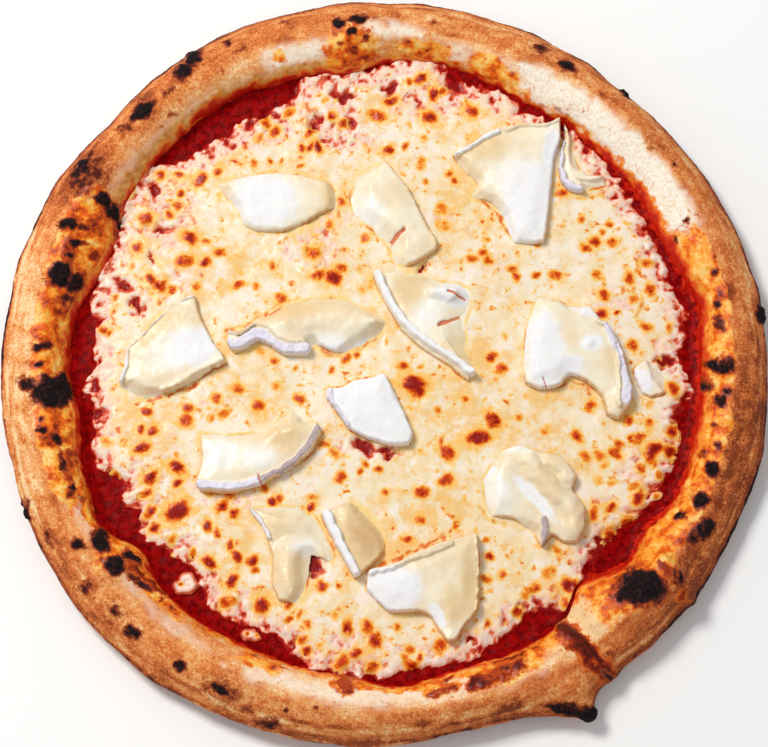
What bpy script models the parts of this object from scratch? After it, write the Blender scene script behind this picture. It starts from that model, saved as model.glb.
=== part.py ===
"""Goat cheese pizza: a raised crust with bubbles, tomato sauce, melted mozzarella and sliced goat cheese."""

import math

import bpy

MM = 0.001  # every size below is in millimetres, every angle in degrees from +X towards +Y
GAP = 0.3  # clearance between neighbouring pieces

RIM_RADIUS = 161.0  # usual reach of the crust
CREST_RADIUS = 147.0
FOOT_RADIUS = 132.0  # where the rim's inner wall meets the sauce
RIM_HEIGHT = 20.0
BASE_THICKNESS = 3.5  # crust under the sauce
SAUCE_THICKNESS = 1.8
MOZZARELLA_RADIUS = 123.5
MOZZARELLA_THICKNESS = 2.6
MOZZARELLA_SWELL = 0.4  # height of its gentle swells
RIM_CLEARANCE = 1.5  # sauce left bare where the mozzarella runs up to the rim

SAUCE_BOTTOM = BASE_THICKNESS + GAP
SAUCE_TOP = SAUCE_BOTTOM + SAUCE_THICKNESS
MOZZARELLA_BOTTOM = SAUCE_TOP + GAP

CRUST_STEPS = 168
MOZZARELLA_STEPS = 108

# Radius and height of the crust's section: the floor, up the inner wall, over the crest, down to the flat bottom.
CRUST_SECTION = (
    (0.0, BASE_THICKNESS),
    (FOOT_RADIUS, BASE_THICKNESS),
    (133.0, 8.5),
    (135.0, 13.0),
    (138.5, 16.6),
    (142.5, 19.0),
    (CREST_RADIUS, RIM_HEIGHT),
    (151.5, 19.2),
    (155.5, 17.0),
    (158.5, 13.5),
    (RIM_RADIUS, 9.0),
    (159.2, 5.0),
    (156.5, 2.0),
    (151.0, 0.0),
    (0.0, 0.0),
)

# Swells and dents along an edge: angle, half width in degrees, reach in millimetres.
OUTER_SWELLS = (
    (11, 3, 1.2),
    (45, 14, -1.6),
    (95, 32, 2.8),
    (117, 6, 1.0),
    (139, 7, -2.0),
    (150, 4, 0.8),
    (165, 4, 1.2),
    (228, 22, 2.6),
    (283, 10, -3.4),
    (312, 5, 0.8),
    (335, 22, 0.9),
    (346, 3, 0.9),
)
FOOT_SWELLS = (
    (10, 4, 3.0),
    (26, 8, -2.0),
    (82, 12, 5.5),
    (97, 4, -3.0),
    (120, 12, 3.5),
    (160, 6, -5.0),
    (190, 5, -4.0),
    (210, 5, 4.0),
    (219, 4, -4.5),
    (273, 6, 3.5),
    (311, 6, -9.5),
    (326, 4, -4.0),
    (338, 6, 1.5),
)
MOZZARELLA_SWELLS = (
    (0, 3, -3.5),
    (10, 5, 4.5),
    (32, 8, -2.0),
    (50, 3, 4.0),
    (66, 5, 5.0),
    (84, 6, 14.0),
    (110, 4, -4.0),
    (142, 7, 9.5),
    (179, 4, -5.0),
    (190, 3, -4.0),
    (204, 3, -8.0),
    (212, 3, -10.0),
    (226, 5, -11.0),
    (234, 3, -5.0),
    (245, 3, -6.0),
    (262, 9, 8.0),
    (298, 5, -6.0),
    (306, 3, 6.0),
    (319, 6, -8.0),
    (354, 4, 5.0),
)

# Bubbles raised on the rim: x, y, spread, lift.
BUBBLES = (
    (-15, 146, 9, 2.8),
    (-84, 132, 9, 1.4),
    (-103, 111, 10, 1.2),
    (-129, 84, 10, 1.4),
    (-122, 73, 6, 2.0),
    (-134, 58, 7, 2.2),
    (-137, 40, 8, 2.4),
    (-137, 22, 8, 1.6),
    (-142, 5, 7, 2.0),
    (-140, -12, 9, 2.4),
    (-141, -32, 7, 1.8),
    (-134, -50, 8, 1.2),
    (-116, -77, 8, 2.4),
    (-109, -88, 8, 2.4),
    (-62, -137, 10, 1.4),
    (30, -139, 12, 1.2),
    (104, -95, 15, 6.0),
    (129, -70, 9, 2.0),
    (137, -46, 8, 1.8),
    (139, -26, 8, 1.2),
    (141, -4, 8, 1.8),
    (142, 18, 8, 1.4),
    (138, 42, 10, 1.2),
    (104, 104, 16, 1.4),
    (60, 137, 12, 1.5),
)

# The torn flap at the lower right: where it stands out, its spread and reach, and the crease beside it.
FLAP_ANGLE = 299.5
FLAP_SPREAD = 2.6
FLAP_REACH = 10.5
CREASE_ANGLE = 304.5
CREASE_SPREAD = 2.4
CREASE_DEPTH = 5.0

# The rim isn't round about the middle of its topping. This point of the plan below goes to the origin.
MIDDLE_X = 0.1
MIDDLE_Y = 1.5

# Section of a slice of goat cheese as shares of its outline and its thickness.
SLICE_SECTION = (
    (0.0, 1.0),
    (0.5, 1.0),
    (0.84, 0.96),
    (0.96, 0.74),
    (1.0, 0.4),
    (0.96, 0.0),
    (0.0, 0.0),
)

# Goat cheese: thickness, then the corners of its outline clockwise from above.
SLICES = {
    "goat_cheese_01": (4.5, ((-71, 79), (-60, 82), (-47, 84), (-35, 83), (-24, 80), (-20, 74), (-21, 69),
                             (-27, 66), (-33, 62), (-43, 58), (-54, 58), (-60, 61), (-63, 68), (-68, 74))),
    "goat_cheese_02": (5.0, ((0, 90), (6, 83), (11, 76), (17, 63), (23, 51), (19, 47), (12, 43), (6, 43),
                             (3, 47), (2, 51), (-6, 59), (-13, 66), (-15, 73), (-13, 80), (-6, 86))),
    "goat_cheese_03": (6.0, ((30, 92), (37, 96), (47, 103), (55, 105), (70, 106), (76, 109), (76, 100), (73, 90),
                             (71, 72), (68, 53), (56, 53), (53, 58), (51, 65), (46, 71), (38, 74), (40, 80),
                             (34, 86))),
    "goat_cheese_04": (5.0, ((78, 107), (81, 98), (83, 88), (87, 83), (94, 83), (95, 79), (89, 77), (84, 75),
                             (79, 76), (76, 80), (75, 86), (76, 93), (78, 100))),
    "goat_cheese_05": (5.5, ((-80, 29), (-78, 21), (-72, 9), (-66, 0), (-72, -3), (-79, -8), (-88, -12),
                             (-97, -15), (-104, -15), (-111, -10), (-109, -2), (-108, 5), (-103, 10),
                             (-97, 17), (-88, 25))),
    "goat_cheese_06": (6.0, ((-66, 14), (-60, 14), (-54, 19), (-48, 21), (-41, 26), (-30, 28), (-18, 28),
                             (-7, 23), (1, 18), (-1, 13), (-7, 9), (-15, 5), (-22, 5), (-29, 8), (-32, 3),
                             (-42, 3), (-48, 7), (-53, 9), (-58, 6), (-63, 4), (-66, 8))),
    "goat_cheese_07": (6.0, ((-5, 39), (6, 41), (17, 39), (24, 36), (32, 35), (38, 31), (37, 25), (35, 18),
                             (35, 9), (39, 0), (39, -5), (35, -8), (28, -2), (17, 5), (8, 13), (3, 21),
                             (-2, 31))),
    "goat_cheese_08": (7.0, ((62, 21), (65, 29), (72, 28), (79, 25), (86, 25), (91, 19), (96, 14), (100, 4),
                             (102, -4), (104, -13), (102, -20), (98, -25), (93, -23), (91, -15), (85, -9),
                             (78, -6), (73, -11), (65, -12), (59, -9), (59, 4), (60, 14))),
    "goat_cheese_09": (3.5, ((105, -3), (109, 1), (115, -1), (118, -7), (118, -13), (112, -15), (108, -13),
                             (106, -8))),
    "goat_cheese_10": (6.0, ((-24, -12), (-17, -11), (-12, -8), (-5, -7), (0, -5), (3, -10), (8, -21),
                             (12, -31), (10, -36), (2, -36), (-7, -33), (-15, -29), (-19, -23), (-24, -16))),
    "goat_cheese_11": (6.0, ((-76, -31), (-63, -31), (-52, -30), (-46, -26), (-39, -21), (-33, -25), (-28, -26),
                             (-26, -31), (-31, -40), (-40, -47), (-51, -53), (-62, -56), (-74, -56), (-78, -53),
                             (-76, -42))),
    "goat_cheese_12": (8.0, ((42, -60), (41, -51), (44, -45), (49, -38), (57, -36), (66, -39), (74, -41),
                             (80, -49), (78, -55), (83, -62), (83, -71), (80, -77), (74, -77), (69, -74),
                             (65, -79), (62, -73), (53, -67), (45, -66))),
    "goat_cheese_13": (5.0, ((-56, -63), (-46, -61), (-34, -62), (-28, -66), (-24, -74), (-20, -82), (-22, -85),
                             (-30, -82), (-31, -90), (-32, -97), (-36, -102), (-43, -101), (-46, -94),
                             (-46, -83), (-50, -71))),
    "goat_cheese_14": (6.5, ((-26, -65), (-21, -63), (-14, -60), (-7, -66), (0, -75), (0, -81), (-4, -86),
                             (-12, -92), (-17, -84), (-22, -74))),
    "goat_cheese_15": (6.5, ((-6, -89), (3, -87), (12, -82), (21, -78), (32, -75), (38, -73), (39, -82),
                             (39, -95), (38, -106), (33, -112), (29, -118), (25, -118), (19, -108), (14, -106),
                             (2, -106), (-7, -97))),
}

# Crumbs of mozzarella lying apart on the sauce: thickness and outline, as for a slice.
CRUMBS = {
    "mozzarella_crumb_01": (2.4, ((-87, -92), (-83, -89), (-78, -91), (-76, -95), (-81, -99), (-86, -97))),
    "mozzarella_crumb_02": (2.0, ((-58, -113), (-54, -112), (-50, -114), (-50, -117), (-54, -118), (-58, -117))),
}

COLOURS = {
    "baked_crust": (0.55, 0.27, 0.10, 1.0),
    "tomato_sauce": (0.38, 0.01, 0.008, 1.0),
    "mozzarella": (0.86, 0.68, 0.38, 1.0),
    "goat_cheese": (0.85, 0.78, 0.60, 1.0),
}
ROUGHNESS = {"baked_crust": 0.8, "tomato_sauce": 0.25, "mozzarella": 0.4, "goat_cheese": 0.55}


def bump(angle, centre, half_width):
    """A smooth swell of height 1 at the centre angle, all but gone two half widths away."""
    away = (angle - centre + 180.0) % 360.0 - 180.0
    return math.exp(-((away / half_width) ** 2))


def swollen(radius, swells, angle):
    return radius + sum(reach * bump(angle, centre, width) for centre, width, reach in swells)


def outer_radius(angle):
    """Reach of the crust, with the flap's tip sloping up slowly on one side and falling off on the other."""
    away = angle - FLAP_ANGLE
    spread = FLAP_SPREAD * (1.5 if away < 0 else 0.8)
    flap = FLAP_REACH * math.exp(-abs(away / spread) ** 1.5)
    return swollen(RIM_RADIUS, OUTER_SWELLS, angle) + flap


def foot_radius(angle):
    return swollen(FOOT_RADIUS, FOOT_SWELLS, angle)


def mozzarella_radius(angle):
    turn = math.radians(angle)
    scallops = 1.6 * math.sin(23 * turn) + 1.3 * math.sin(37 * turn + 1.0)
    reach = swollen(MOZZARELLA_RADIUS, MOZZARELLA_SWELLS, angle) + scallops
    return min(reach, foot_radius(angle) - RIM_CLEARANCE)


def rim_height(angle):
    turn = math.radians(angle)
    return RIM_HEIGHT + 0.9 * math.sin(3 * turn + 0.6) + 0.7 * math.sin(7 * turn + 2.0)


def mozzarella_top(x, y):
    swell = math.sin(x / 11.0 + 0.8) * math.cos(y / 12.5) + 0.5 * math.sin((x + y) / 8.5)
    return MOZZARELLA_BOTTOM + MOZZARELLA_THICKNESS + MOZZARELLA_SWELL * swell


def crust_point(radius, angle, height):
    """Moves a point of the even crust to the uneven one; the flat bottom stays flat."""
    foot = foot_radius(angle)
    outer = outer_radius(angle)
    on_floor = radius < FOOT_RADIUS + 0.01
    if on_floor:
        reach = radius * foot / FOOT_RADIUS
    elif radius <= CREST_RADIUS:
        reach = foot + (radius - FOOT_RADIUS) * (CREST_RADIUS - foot) / (CREST_RADIUS - FOOT_RADIUS)
    else:
        reach = CREST_RADIUS + (radius - CREST_RADIUS) * (outer - CREST_RADIUS) / (RIM_RADIUS - CREST_RADIUS)
    x = reach * math.cos(math.radians(angle))
    y = reach * math.sin(math.radians(angle))
    if on_floor or height < 0.01:
        return x, y, height
    share = height / RIM_HEIGHT
    lift = sum(rise * math.exp(-((x - cx) ** 2 + (y - cy) ** 2) / spread**2) for cx, cy, spread, rise in BUBBLES)
    crease = CREASE_DEPTH * bump(angle, CREASE_ANGLE, CREASE_SPREAD)
    return x, y, share * (rim_height(angle) + lift - crease)


def sauce_point(radius, angle, height):
    reach = radius / FOOT_RADIUS * (foot_radius(angle) - GAP)
    return reach * math.cos(math.radians(angle)), reach * math.sin(math.radians(angle)), height


def mozzarella_point(radius, angle, height):
    """Heights above the bottom are shares of the way up to the top surface."""
    reach = radius / MOZZARELLA_RADIUS * mozzarella_radius(angle)
    x = reach * math.cos(math.radians(angle))
    y = reach * math.sin(math.radians(angle))
    return x, y, MOZZARELLA_BOTTOM + height * (mozzarella_top(x, y) - MOZZARELLA_BOTTOM)


def outline_point(corners, share):
    """Point at a share of the way round the smooth closed curve through the corners, anticlockwise."""
    count = len(corners)
    place = (1.0 - share) * count
    first = int(place) % count
    t = place - int(place)
    a, b, c, d = (corners[(first + k) % count] for k in (-1, 0, 1, 2))
    return tuple(
        0.5 * (2 * q + (r - p) * t + (2 * p - 5 * q + 4 * r - s) * t * t + (3 * q - p - 3 * r + s) * t**3)
        for p, q, r, s in zip(a, b, c, d)
    )


def patch_shaper(thickness, corners, bottom):
    """Turns a unit section into a soft-edged patch over the outline, its underside following bottom(x, y)."""
    centre_x = sum(x for x, y in corners) / len(corners)
    centre_y = sum(y for x, y in corners) / len(corners)

    def point(radius, angle, height):
        edge_x, edge_y = outline_point(corners, (angle % 360.0) / 360.0)
        x = centre_x + radius * (edge_x - centre_x)
        y = centre_y + radius * (edge_y - centre_y)
        return x, y, bottom(x, y) + height * thickness

    return point


def on_mozzarella(x, y):
    return mozzarella_top(x, y) + GAP + 0.15


def on_sauce(x, y):
    return SAUCE_TOP + GAP


def material(name):
    surface = bpy.data.materials.new(name)
    surface.use_nodes = True
    shader = surface.node_tree.nodes["Principled BSDF"]
    shader.inputs["Base Color"].default_value = COLOURS[name]
    shader.inputs["Roughness"].default_value = ROUGHNESS[name]
    shader.inputs["Metallic"].default_value = 0.0
    return surface


def turned(name, section, steps, shape, surface, collection):
    """A closed body: the section turned about Z, then every vertex put where shape says."""
    profile = bpy.data.meshes.new(name)
    profile.from_pydata([(r, 0.0, z) for r, z in section], [(k, k + 1) for k in range(len(section) - 1)], [])
    body = bpy.data.objects.new(name, profile)
    collection.objects.link(body)
    screw = body.modifiers.new("turn", "SCREW")
    screw.axis = "Z"
    screw.angle = math.tau
    screw.steps = steps
    screw.render_steps = steps
    screw.use_merge_vertices = True
    screw.merge_threshold = 0.0001
    solid = bpy.data.meshes.new_from_object(body.evaluated_get(bpy.context.evaluated_depsgraph_get()))
    body.modifiers.clear()
    body.data = solid
    bpy.data.meshes.remove(profile)
    solid.name = name
    for vertex in solid.vertices:
        x, y, height = vertex.co
        radius = math.hypot(x, y)
        angle = math.degrees(math.atan2(y, x)) % 360.0
        x, y, height = shape(radius, angle, height)
        vertex.co = ((x - MIDDLE_X) * MM, (y - MIDDLE_Y) * MM, height * MM)
    solid.materials.append(surface)
    return body


def mozzarella_section():
    """Rings of the top in to out, then a soft edge; heights are shares of the layer's thickness."""
    rings = 12
    inner = [(MOZZARELLA_RADIUS * 0.975 * k / rings, 1.0) for k in range(rings + 1)]
    return inner + [(MOZZARELLA_RADIUS, 0.5), (MOZZARELLA_RADIUS * 0.985, 0.0), (0.0, 0.0)]


def build():
    for item in list(bpy.data.objects):
        bpy.data.objects.remove(item)
    pizza = bpy.data.collections.new("goat_cheese_pizza")
    bpy.context.scene.collection.children.link(pizza)
    surfaces = {name: material(name) for name in COLOURS}

    turned("pizza_crust", CRUST_SECTION, CRUST_STEPS, crust_point, surfaces["baked_crust"], pizza)

    sauce_section = (
        (0.0, SAUCE_TOP),
        (FOOT_RADIUS, SAUCE_TOP),
        (FOOT_RADIUS, SAUCE_BOTTOM),
        (0.0, SAUCE_BOTTOM),
    )
    turned("tomato_sauce", sauce_section, CRUST_STEPS, sauce_point, surfaces["tomato_sauce"], pizza)
    turned("melted_mozzarella", mozzarella_section(), MOZZARELLA_STEPS, mozzarella_point,
           surfaces["mozzarella"], pizza)

    for name, (thickness, corners) in CRUMBS.items():
        shape = patch_shaper(thickness, corners, on_sauce)
        turned(name, SLICE_SECTION, 2 * len(corners), shape, surfaces["mozzarella"], pizza)
    for name, (thickness, corners) in SLICES.items():
        shape = patch_shaper(thickness, corners, on_mozzarella)
        turned(name, SLICE_SECTION, 2 * len(corners), shape, surfaces["goat_cheese"], pizza)


build()
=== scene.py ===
"""Looks of the goat cheese pizza: crust, sauce, mozzarella and goat cheese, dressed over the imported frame.

Sizes are in millimetres, angles in degrees from +X towards +Y and colours in sRGB from 0 to 255.
"""

import math
from types import SimpleNamespace

import bpy
import numpy as np
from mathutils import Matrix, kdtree


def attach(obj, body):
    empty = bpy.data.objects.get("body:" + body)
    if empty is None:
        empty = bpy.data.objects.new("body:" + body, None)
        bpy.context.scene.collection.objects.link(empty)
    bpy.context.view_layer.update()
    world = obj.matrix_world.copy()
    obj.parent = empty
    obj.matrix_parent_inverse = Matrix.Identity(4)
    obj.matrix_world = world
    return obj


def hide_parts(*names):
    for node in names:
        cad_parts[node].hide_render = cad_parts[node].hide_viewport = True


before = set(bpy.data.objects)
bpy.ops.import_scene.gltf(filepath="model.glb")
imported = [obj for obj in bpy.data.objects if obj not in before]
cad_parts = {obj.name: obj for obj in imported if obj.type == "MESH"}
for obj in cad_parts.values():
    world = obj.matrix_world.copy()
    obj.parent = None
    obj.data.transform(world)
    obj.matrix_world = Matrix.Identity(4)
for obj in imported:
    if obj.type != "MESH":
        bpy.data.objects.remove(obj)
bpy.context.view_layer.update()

MM = 0.001

# ---------------------------------------------------------------- sizes shared with the solids
RIM_RADIUS = 161.0
CREST_RADIUS = 147.0
FOOT_RADIUS = 132.0
RIM_HEIGHT = 20.0
BASE_THICKNESS = 3.5
SAUCE_TOP = 5.6
MOZZARELLA_TOP = 8.5
MOZZARELLA_SWELL = 0.4

# Section of the crust, from its foot over the crest to the base: radius and height.
CRUST_SECTION = (
    (FOOT_RADIUS, BASE_THICKNESS), (133.0, 8.5), (135.0, 13.0), (138.5, 16.6), (142.5, 19.0),
    (CREST_RADIUS, RIM_HEIGHT), (151.5, 19.2), (155.5, 17.0), (158.5, 13.5), (RIM_RADIUS, 9.0),
    (159.2, 5.0), (156.5, 2.0), (151.0, 0.0),
)
# Swells of the rim's radius: angle, half width and rise.
OUTER_SWELLS = (
    (11, 3, 1.2), (45, 14, -1.6), (95, 32, 2.8), (117, 6, 1.0), (139, 7, -2.0), (150, 4, 0.8),
    (165, 4, 1.2), (228, 22, 2.6), (283, 10, -3.4), (312, 5, 0.8), (335, 22, 0.9), (346, 3, 0.9),
)
# Swells of the foot's radius: angle, half width and rise.
FOOT_SWELLS = (
    (10, 4, 3.0), (26, 8, -2.0), (82, 12, 5.5), (97, 4, -3.0), (120, 12, 3.5), (158, 9, -7.0),
    (190, 5, -4.0), (210, 5, 4.0), (219, 4, -4.5), (273, 6, 3.5), (311, 6, -9.5), (326, 4, -4.0),
    (338, 6, 1.5),
)
# Bubbles of the crust: x, y, size and rise.
BUBBLES = (
    (-15, 146, 9, 2.8), (-84, 132, 9, 1.4), (-103, 111, 10, 1.2), (-129, 84, 10, 1.4), (-122, 73, 6, 2.0),
    (-134, 58, 7, 2.2), (-137, 40, 8, 2.4), (-137, 22, 8, 1.6), (-142, 5, 7, 2.0), (-140, -12, 9, 2.4),
    (-141, -32, 7, 1.8), (-134, -50, 8, 1.2), (-116, -77, 8, 2.4), (-109, -88, 8, 2.4),
    (-62, -137, 10, 1.4), (30, -139, 12, 1.2), (104, -95, 15, 6.0), (129, -70, 9, 2.0), (137, -46, 8, 1.8),
    (139, -26, 8, 1.2), (141, -4, 8, 1.8), (142, 18, 8, 1.4), (138, 42, 10, 1.2), (104, 104, 16, 1.4),
    (60, 137, 12, 1.5),
)
FLAP_ANGLE = 299.5
FLAP_SPREAD = 2.6
FLAP_REACH = 10.5
CREASE_ANGLE = 304.5
CREASE_SPREAD = 2.4
CREASE_DEPTH = 5.0
SKIN_CEILING = 23.0  # above it the crust's relief is pressed together
MIDDLE = (0.1, 1.5, 0.0)  # middle of the baked outline, which the frame has at its origin
# The rim's height goes up and down: rise, waves in a turn and start in radians.
RIM_WAVES = ((0.9, 3, 0.6), (0.7, 7, 2.0))

# ---------------------------------------------------------------- fineness of the meshes
CRUST_STEPS = 1110  # points in a ring of the crust
CRUST_RINGS = 84  # rings from its foot over the crest to the base
SAUCE_CELLS = 150  # cells across the sauce
MOZZARELLA_CELLS = 306  # cells across the mozzarella
SLICE_STEP = 0.38  # cell size of the goat cheese and the crumbs
SLICE_CORNERS = 260  # points round a goat cheese slice
CRUMB_CORNERS = 120  # points round a crumb
NOISE_TABLE = 256  # entries in the table that a noise draws from
NOISE_GAIN = 1.6  # brings the noise to about -1..1
CELL_TABLE = 64  # cells after which the uneven cells repeat

# ---------------------------------------------------------------- sight and light
CAMERA_RISE = 75.0  # angle above the ground that the camera looks down from
CAMERA_DISTANCE = 1000.0
CAMERA_SENSOR = 36.0
CAMERA_LENS = 111.66
CAMERA_TARGET = (0.0, -5.0, 10.0)  # from the middle of the baked outline
SEEN_LEVEL = 10.0  # the marks on the crust are placed as this camera sees them on this level
SEEN_SCALE = 0.001  # growth with each mm above it, at that distance
SEEN_LEAN = 0.268  # shift with each mm above it, at that angle
SKY_STRENGTH = 0.45
KEY_PLACE = (-620.0, 500.0, 1250.0)
KEY_SIZE = 450.0
KEY_POWER = 15.0  # watts
KEY_TINT = (1.0, 0.98, 0.95)
FLOOR_REACH = 3000.0
FLOOR_DROP = 0.2  # keeps the floor just under the base

# ---------------------------------------------------------------- scattered marks
CRUST_MOTTLES = 150
CHEESE_FLECKS = 230
FLECK_REACH = 124.0  # they lie on the mozzarella up to this radius
BAND_END = 3.0  # angle over which a band on the crust fades at its ends

# ---------------------------------------------------------------- colours along a value: place, colour
DOUGH_TONES = (
    (-0.05, (252, 214, 160)), (0.4, (236, 156, 88)), (0.72, (212, 112, 54)), (1.15, (138, 60, 28)),
)
OILY_TONES = ((0.36, (253, 206, 116)), (0.48, (251, 162, 50)), (0.58, (232, 98, 14)), (0.72, (134, 34, 10)))
SOAKED_TONES = ((0.34, (244, 146, 54)), (0.62, (232, 84, 28)), (1.0, (196, 28, 12)))
SCAB_TONES = ((0.52, (214, 100, 30)), (0.8, (154, 42, 12)), (1.25, (84, 18, 8)))
CHEESE_TONES = ((0.42, (248, 235, 211)), (0.52, (246, 224, 184)), (0.62, (245, 202, 134)))
BLUSH_TONES = ((0.7, (250, 200, 112)), (0.79, (234, 120, 44)), (0.9, (196, 44, 18)))
THIN_TONES = ((0.32, (249, 214, 196)), (0.55, (230, 112, 76)), (0.78, (172, 18, 12)))
OIL_TONES = ((0.45, (248, 214, 140)), (0.85, (226, 116, 46)), (1.3, (184, 40, 14)))
SPOT_TONES = ((0.24, (252, 198, 104)), (0.42, (240, 134, 26)), (0.66, (206, 66, 8)), (0.98, (146, 18, 4)))
TAN_TONES = ((1.1, (236, 207, 158)), (2.0, (214, 174, 124)))

# ---------------------------------------------------------------- places of the marks
# Edge of the mozzarella: angle and reach.
MOZZARELLA_EDGE = (
    (2, 120), (5, 125), (10, 128), (15, 126), (20, 124), (25, 125), (30, 126), (35, 126), (40, 127),
    (50, 130), (60, 126), (65, 128), (67, 131), (70, 127), (73, 131), (76, 127), (80, 137), (88, 137),
    (92, 129), (96, 130), (100, 131), (105, 131), (110, 120), (115, 121), (120, 121), (125, 120),
    (130, 121), (135, 125), (138, 131), (148, 131), (150, 127), (155, 126), (160, 125), (165, 124),
    (170, 123), (175, 121), (180, 118), (185, 124), (190, 119), (195, 125), (200, 126), (203, 120),
    (205, 115), (208, 125), (212, 113), (215, 123), (220, 118), (225, 114), (232, 116), (236, 126),
    (240, 121), (250, 121), (255, 128), (260, 130), (265, 131), (270, 129), (275, 127), (280, 127),
    (285, 126), (290, 125), (295, 121), (298, 118), (301, 118), (305, 128), (310, 124), (313, 119),
    (317, 117), (320, 115), (325, 118), (330, 124), (335, 124), (340, 125), (345, 126), (350, 122),
    (355, 129),
)
# Gaps in the mozzarella where the sauce shows: x, y, half length, half width, turn.
GAPS = (
    (-98.5, 77, 3.4, 2.0, 70), (-96, 59, 3.6, 2.2, 10), (-111, 34, 3.6, 2.0, 150),
    (-104, 25, 4.2, 2.4, 120), (-99, 46, 3.2, 0.8, 110), (-29.5, 107, 2.2, 3.0, 0), (-17, 121, 5.0, 2.6, 0),
    (-52, 112, 3.0, 1.6, 30), (-44, 122, 7.0, 3.6, 20), (-121, -21, 4.5, 2.6, 0),
    (-106, -66, 5.5, 3.4, -20), (-111, -53, 5, 1.6, 10), (31, 126, 4.2, 4.4, 0), (48, 125, 5.0, 1.8, 0),
    (124, -22, 3.0, 4.5, -20), (118, 1, 4.5, 2.4, 10), (66, -105, 5.0, 2.6, -30), (-30, -85, 3.4, 4.4, 20),
    (89, -77, 1.8, 5.0, -15), (2.5, 124, 3.2, 3.4, 0), (36, -117, 2.6, 1.4, 20), (17, 42, 1.8, 2.2, 0),
    (-9, -36, 5.5, 2.4, -25), (1, -38, 6.0, 1.8, -3), (-29, -86, 3.5, 5.0, 20),
)
# Cracks that stain the mozzarella orange: half width, strength and line.
CRACKS = (
    (1.1, 1.0, ((-104, -17), (-95, -15.5), (-86, -13), (-78, -9))),
    (1.0, 0.9, ((37, 74), (44, 70.5), (50, 64.5), (52, 58))),
    (0.9, 0.8, ((-67, 14), (-60, 16), (-52, 21), (-44, 26), (-36, 29))),
    (0.9, 0.8, ((-29, 6), (-20, 3), (-10, 6), (-2, 12))),
    (1.2, 1.0, ((-7, -87), (4, -84.5), (14, -79.5), (24, -74.5), (28, -71))),
    (0.9, 0.9, ((71, -11), (77, -8), (84, -10), (89, -16))),
    (0.9, 0.8, ((40, -62), (43, -67), (50, -69))),
    (0.7, 0.7, ((-72, 79.5), (-60, 83), (-47, 85.5), (-35, 84.5), (-25, 81))),
    (0.7, 0.8, ((-25, -11.5), (-18, -10.5), (-12, -7), (-5, -6), (0, -4))),
    (1.0, 0.8, ((-106, 40), (-99, 31), (-95, 26))),
    (1.0, 0.7, ((-24, -40), (-19, -39), (-14, -41))),
    (0.9, 0.7, ((-40, 57), (-37, 53))),
    (0.9, 0.7, ((-20, 68), (-19, 63))),
    (1.0, 0.6, ((98, -23), (106, -26))),
    (0.8, 0.6, ((84, -18), (88, -21))),
    (0.9, 0.7, ((107, 20), (110, 30))),
    (0.8, 0.6, ((-98, 47), (-94, 40))),
)
# Places where the mozzarella blushes red and orange: x, y, half length, half width, turn, strength.
BLUSHES = (
    (-30, 49, 16, 8, -25, 0.8), (-25, -36, 14, 5, 0, 0.7), (-66, -56, 16, 8, -10, 0.7),
    (-51, 106, 17, 9, 20, 1.15), (-23, 61, 9, 6, 60, 0.8), (-92, 66, 14, 18, 0, 0.9),
    (-96, -45, 14, 14, 0, 0.7), (-20, 106, 18, 12, 0, 1.15), (98, 28, 14, 16, 0, 0.4),
    (105, -40, 12, 14, 0, 0.7), (-60, -100, 16, 8, -20, 0.5), (20, 119, 18, 10, 0, 1.1),
    (-12, -117, 16, 8, 0, 0.8), (46, 44, 12, 7, 0, 0.4), (93, -60, 9, 9, 0, 0.4), (-92, 34, 14, 9, 20, 0.8),
    (25, 65, 4, 6, 0, 0.8), (-33, -79, 6, 12, 0, 0.5), (-70, -20, 16, 6, 10, 0.4),
    (70, -98, 14, 8, -20, 0.4),
)
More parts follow.
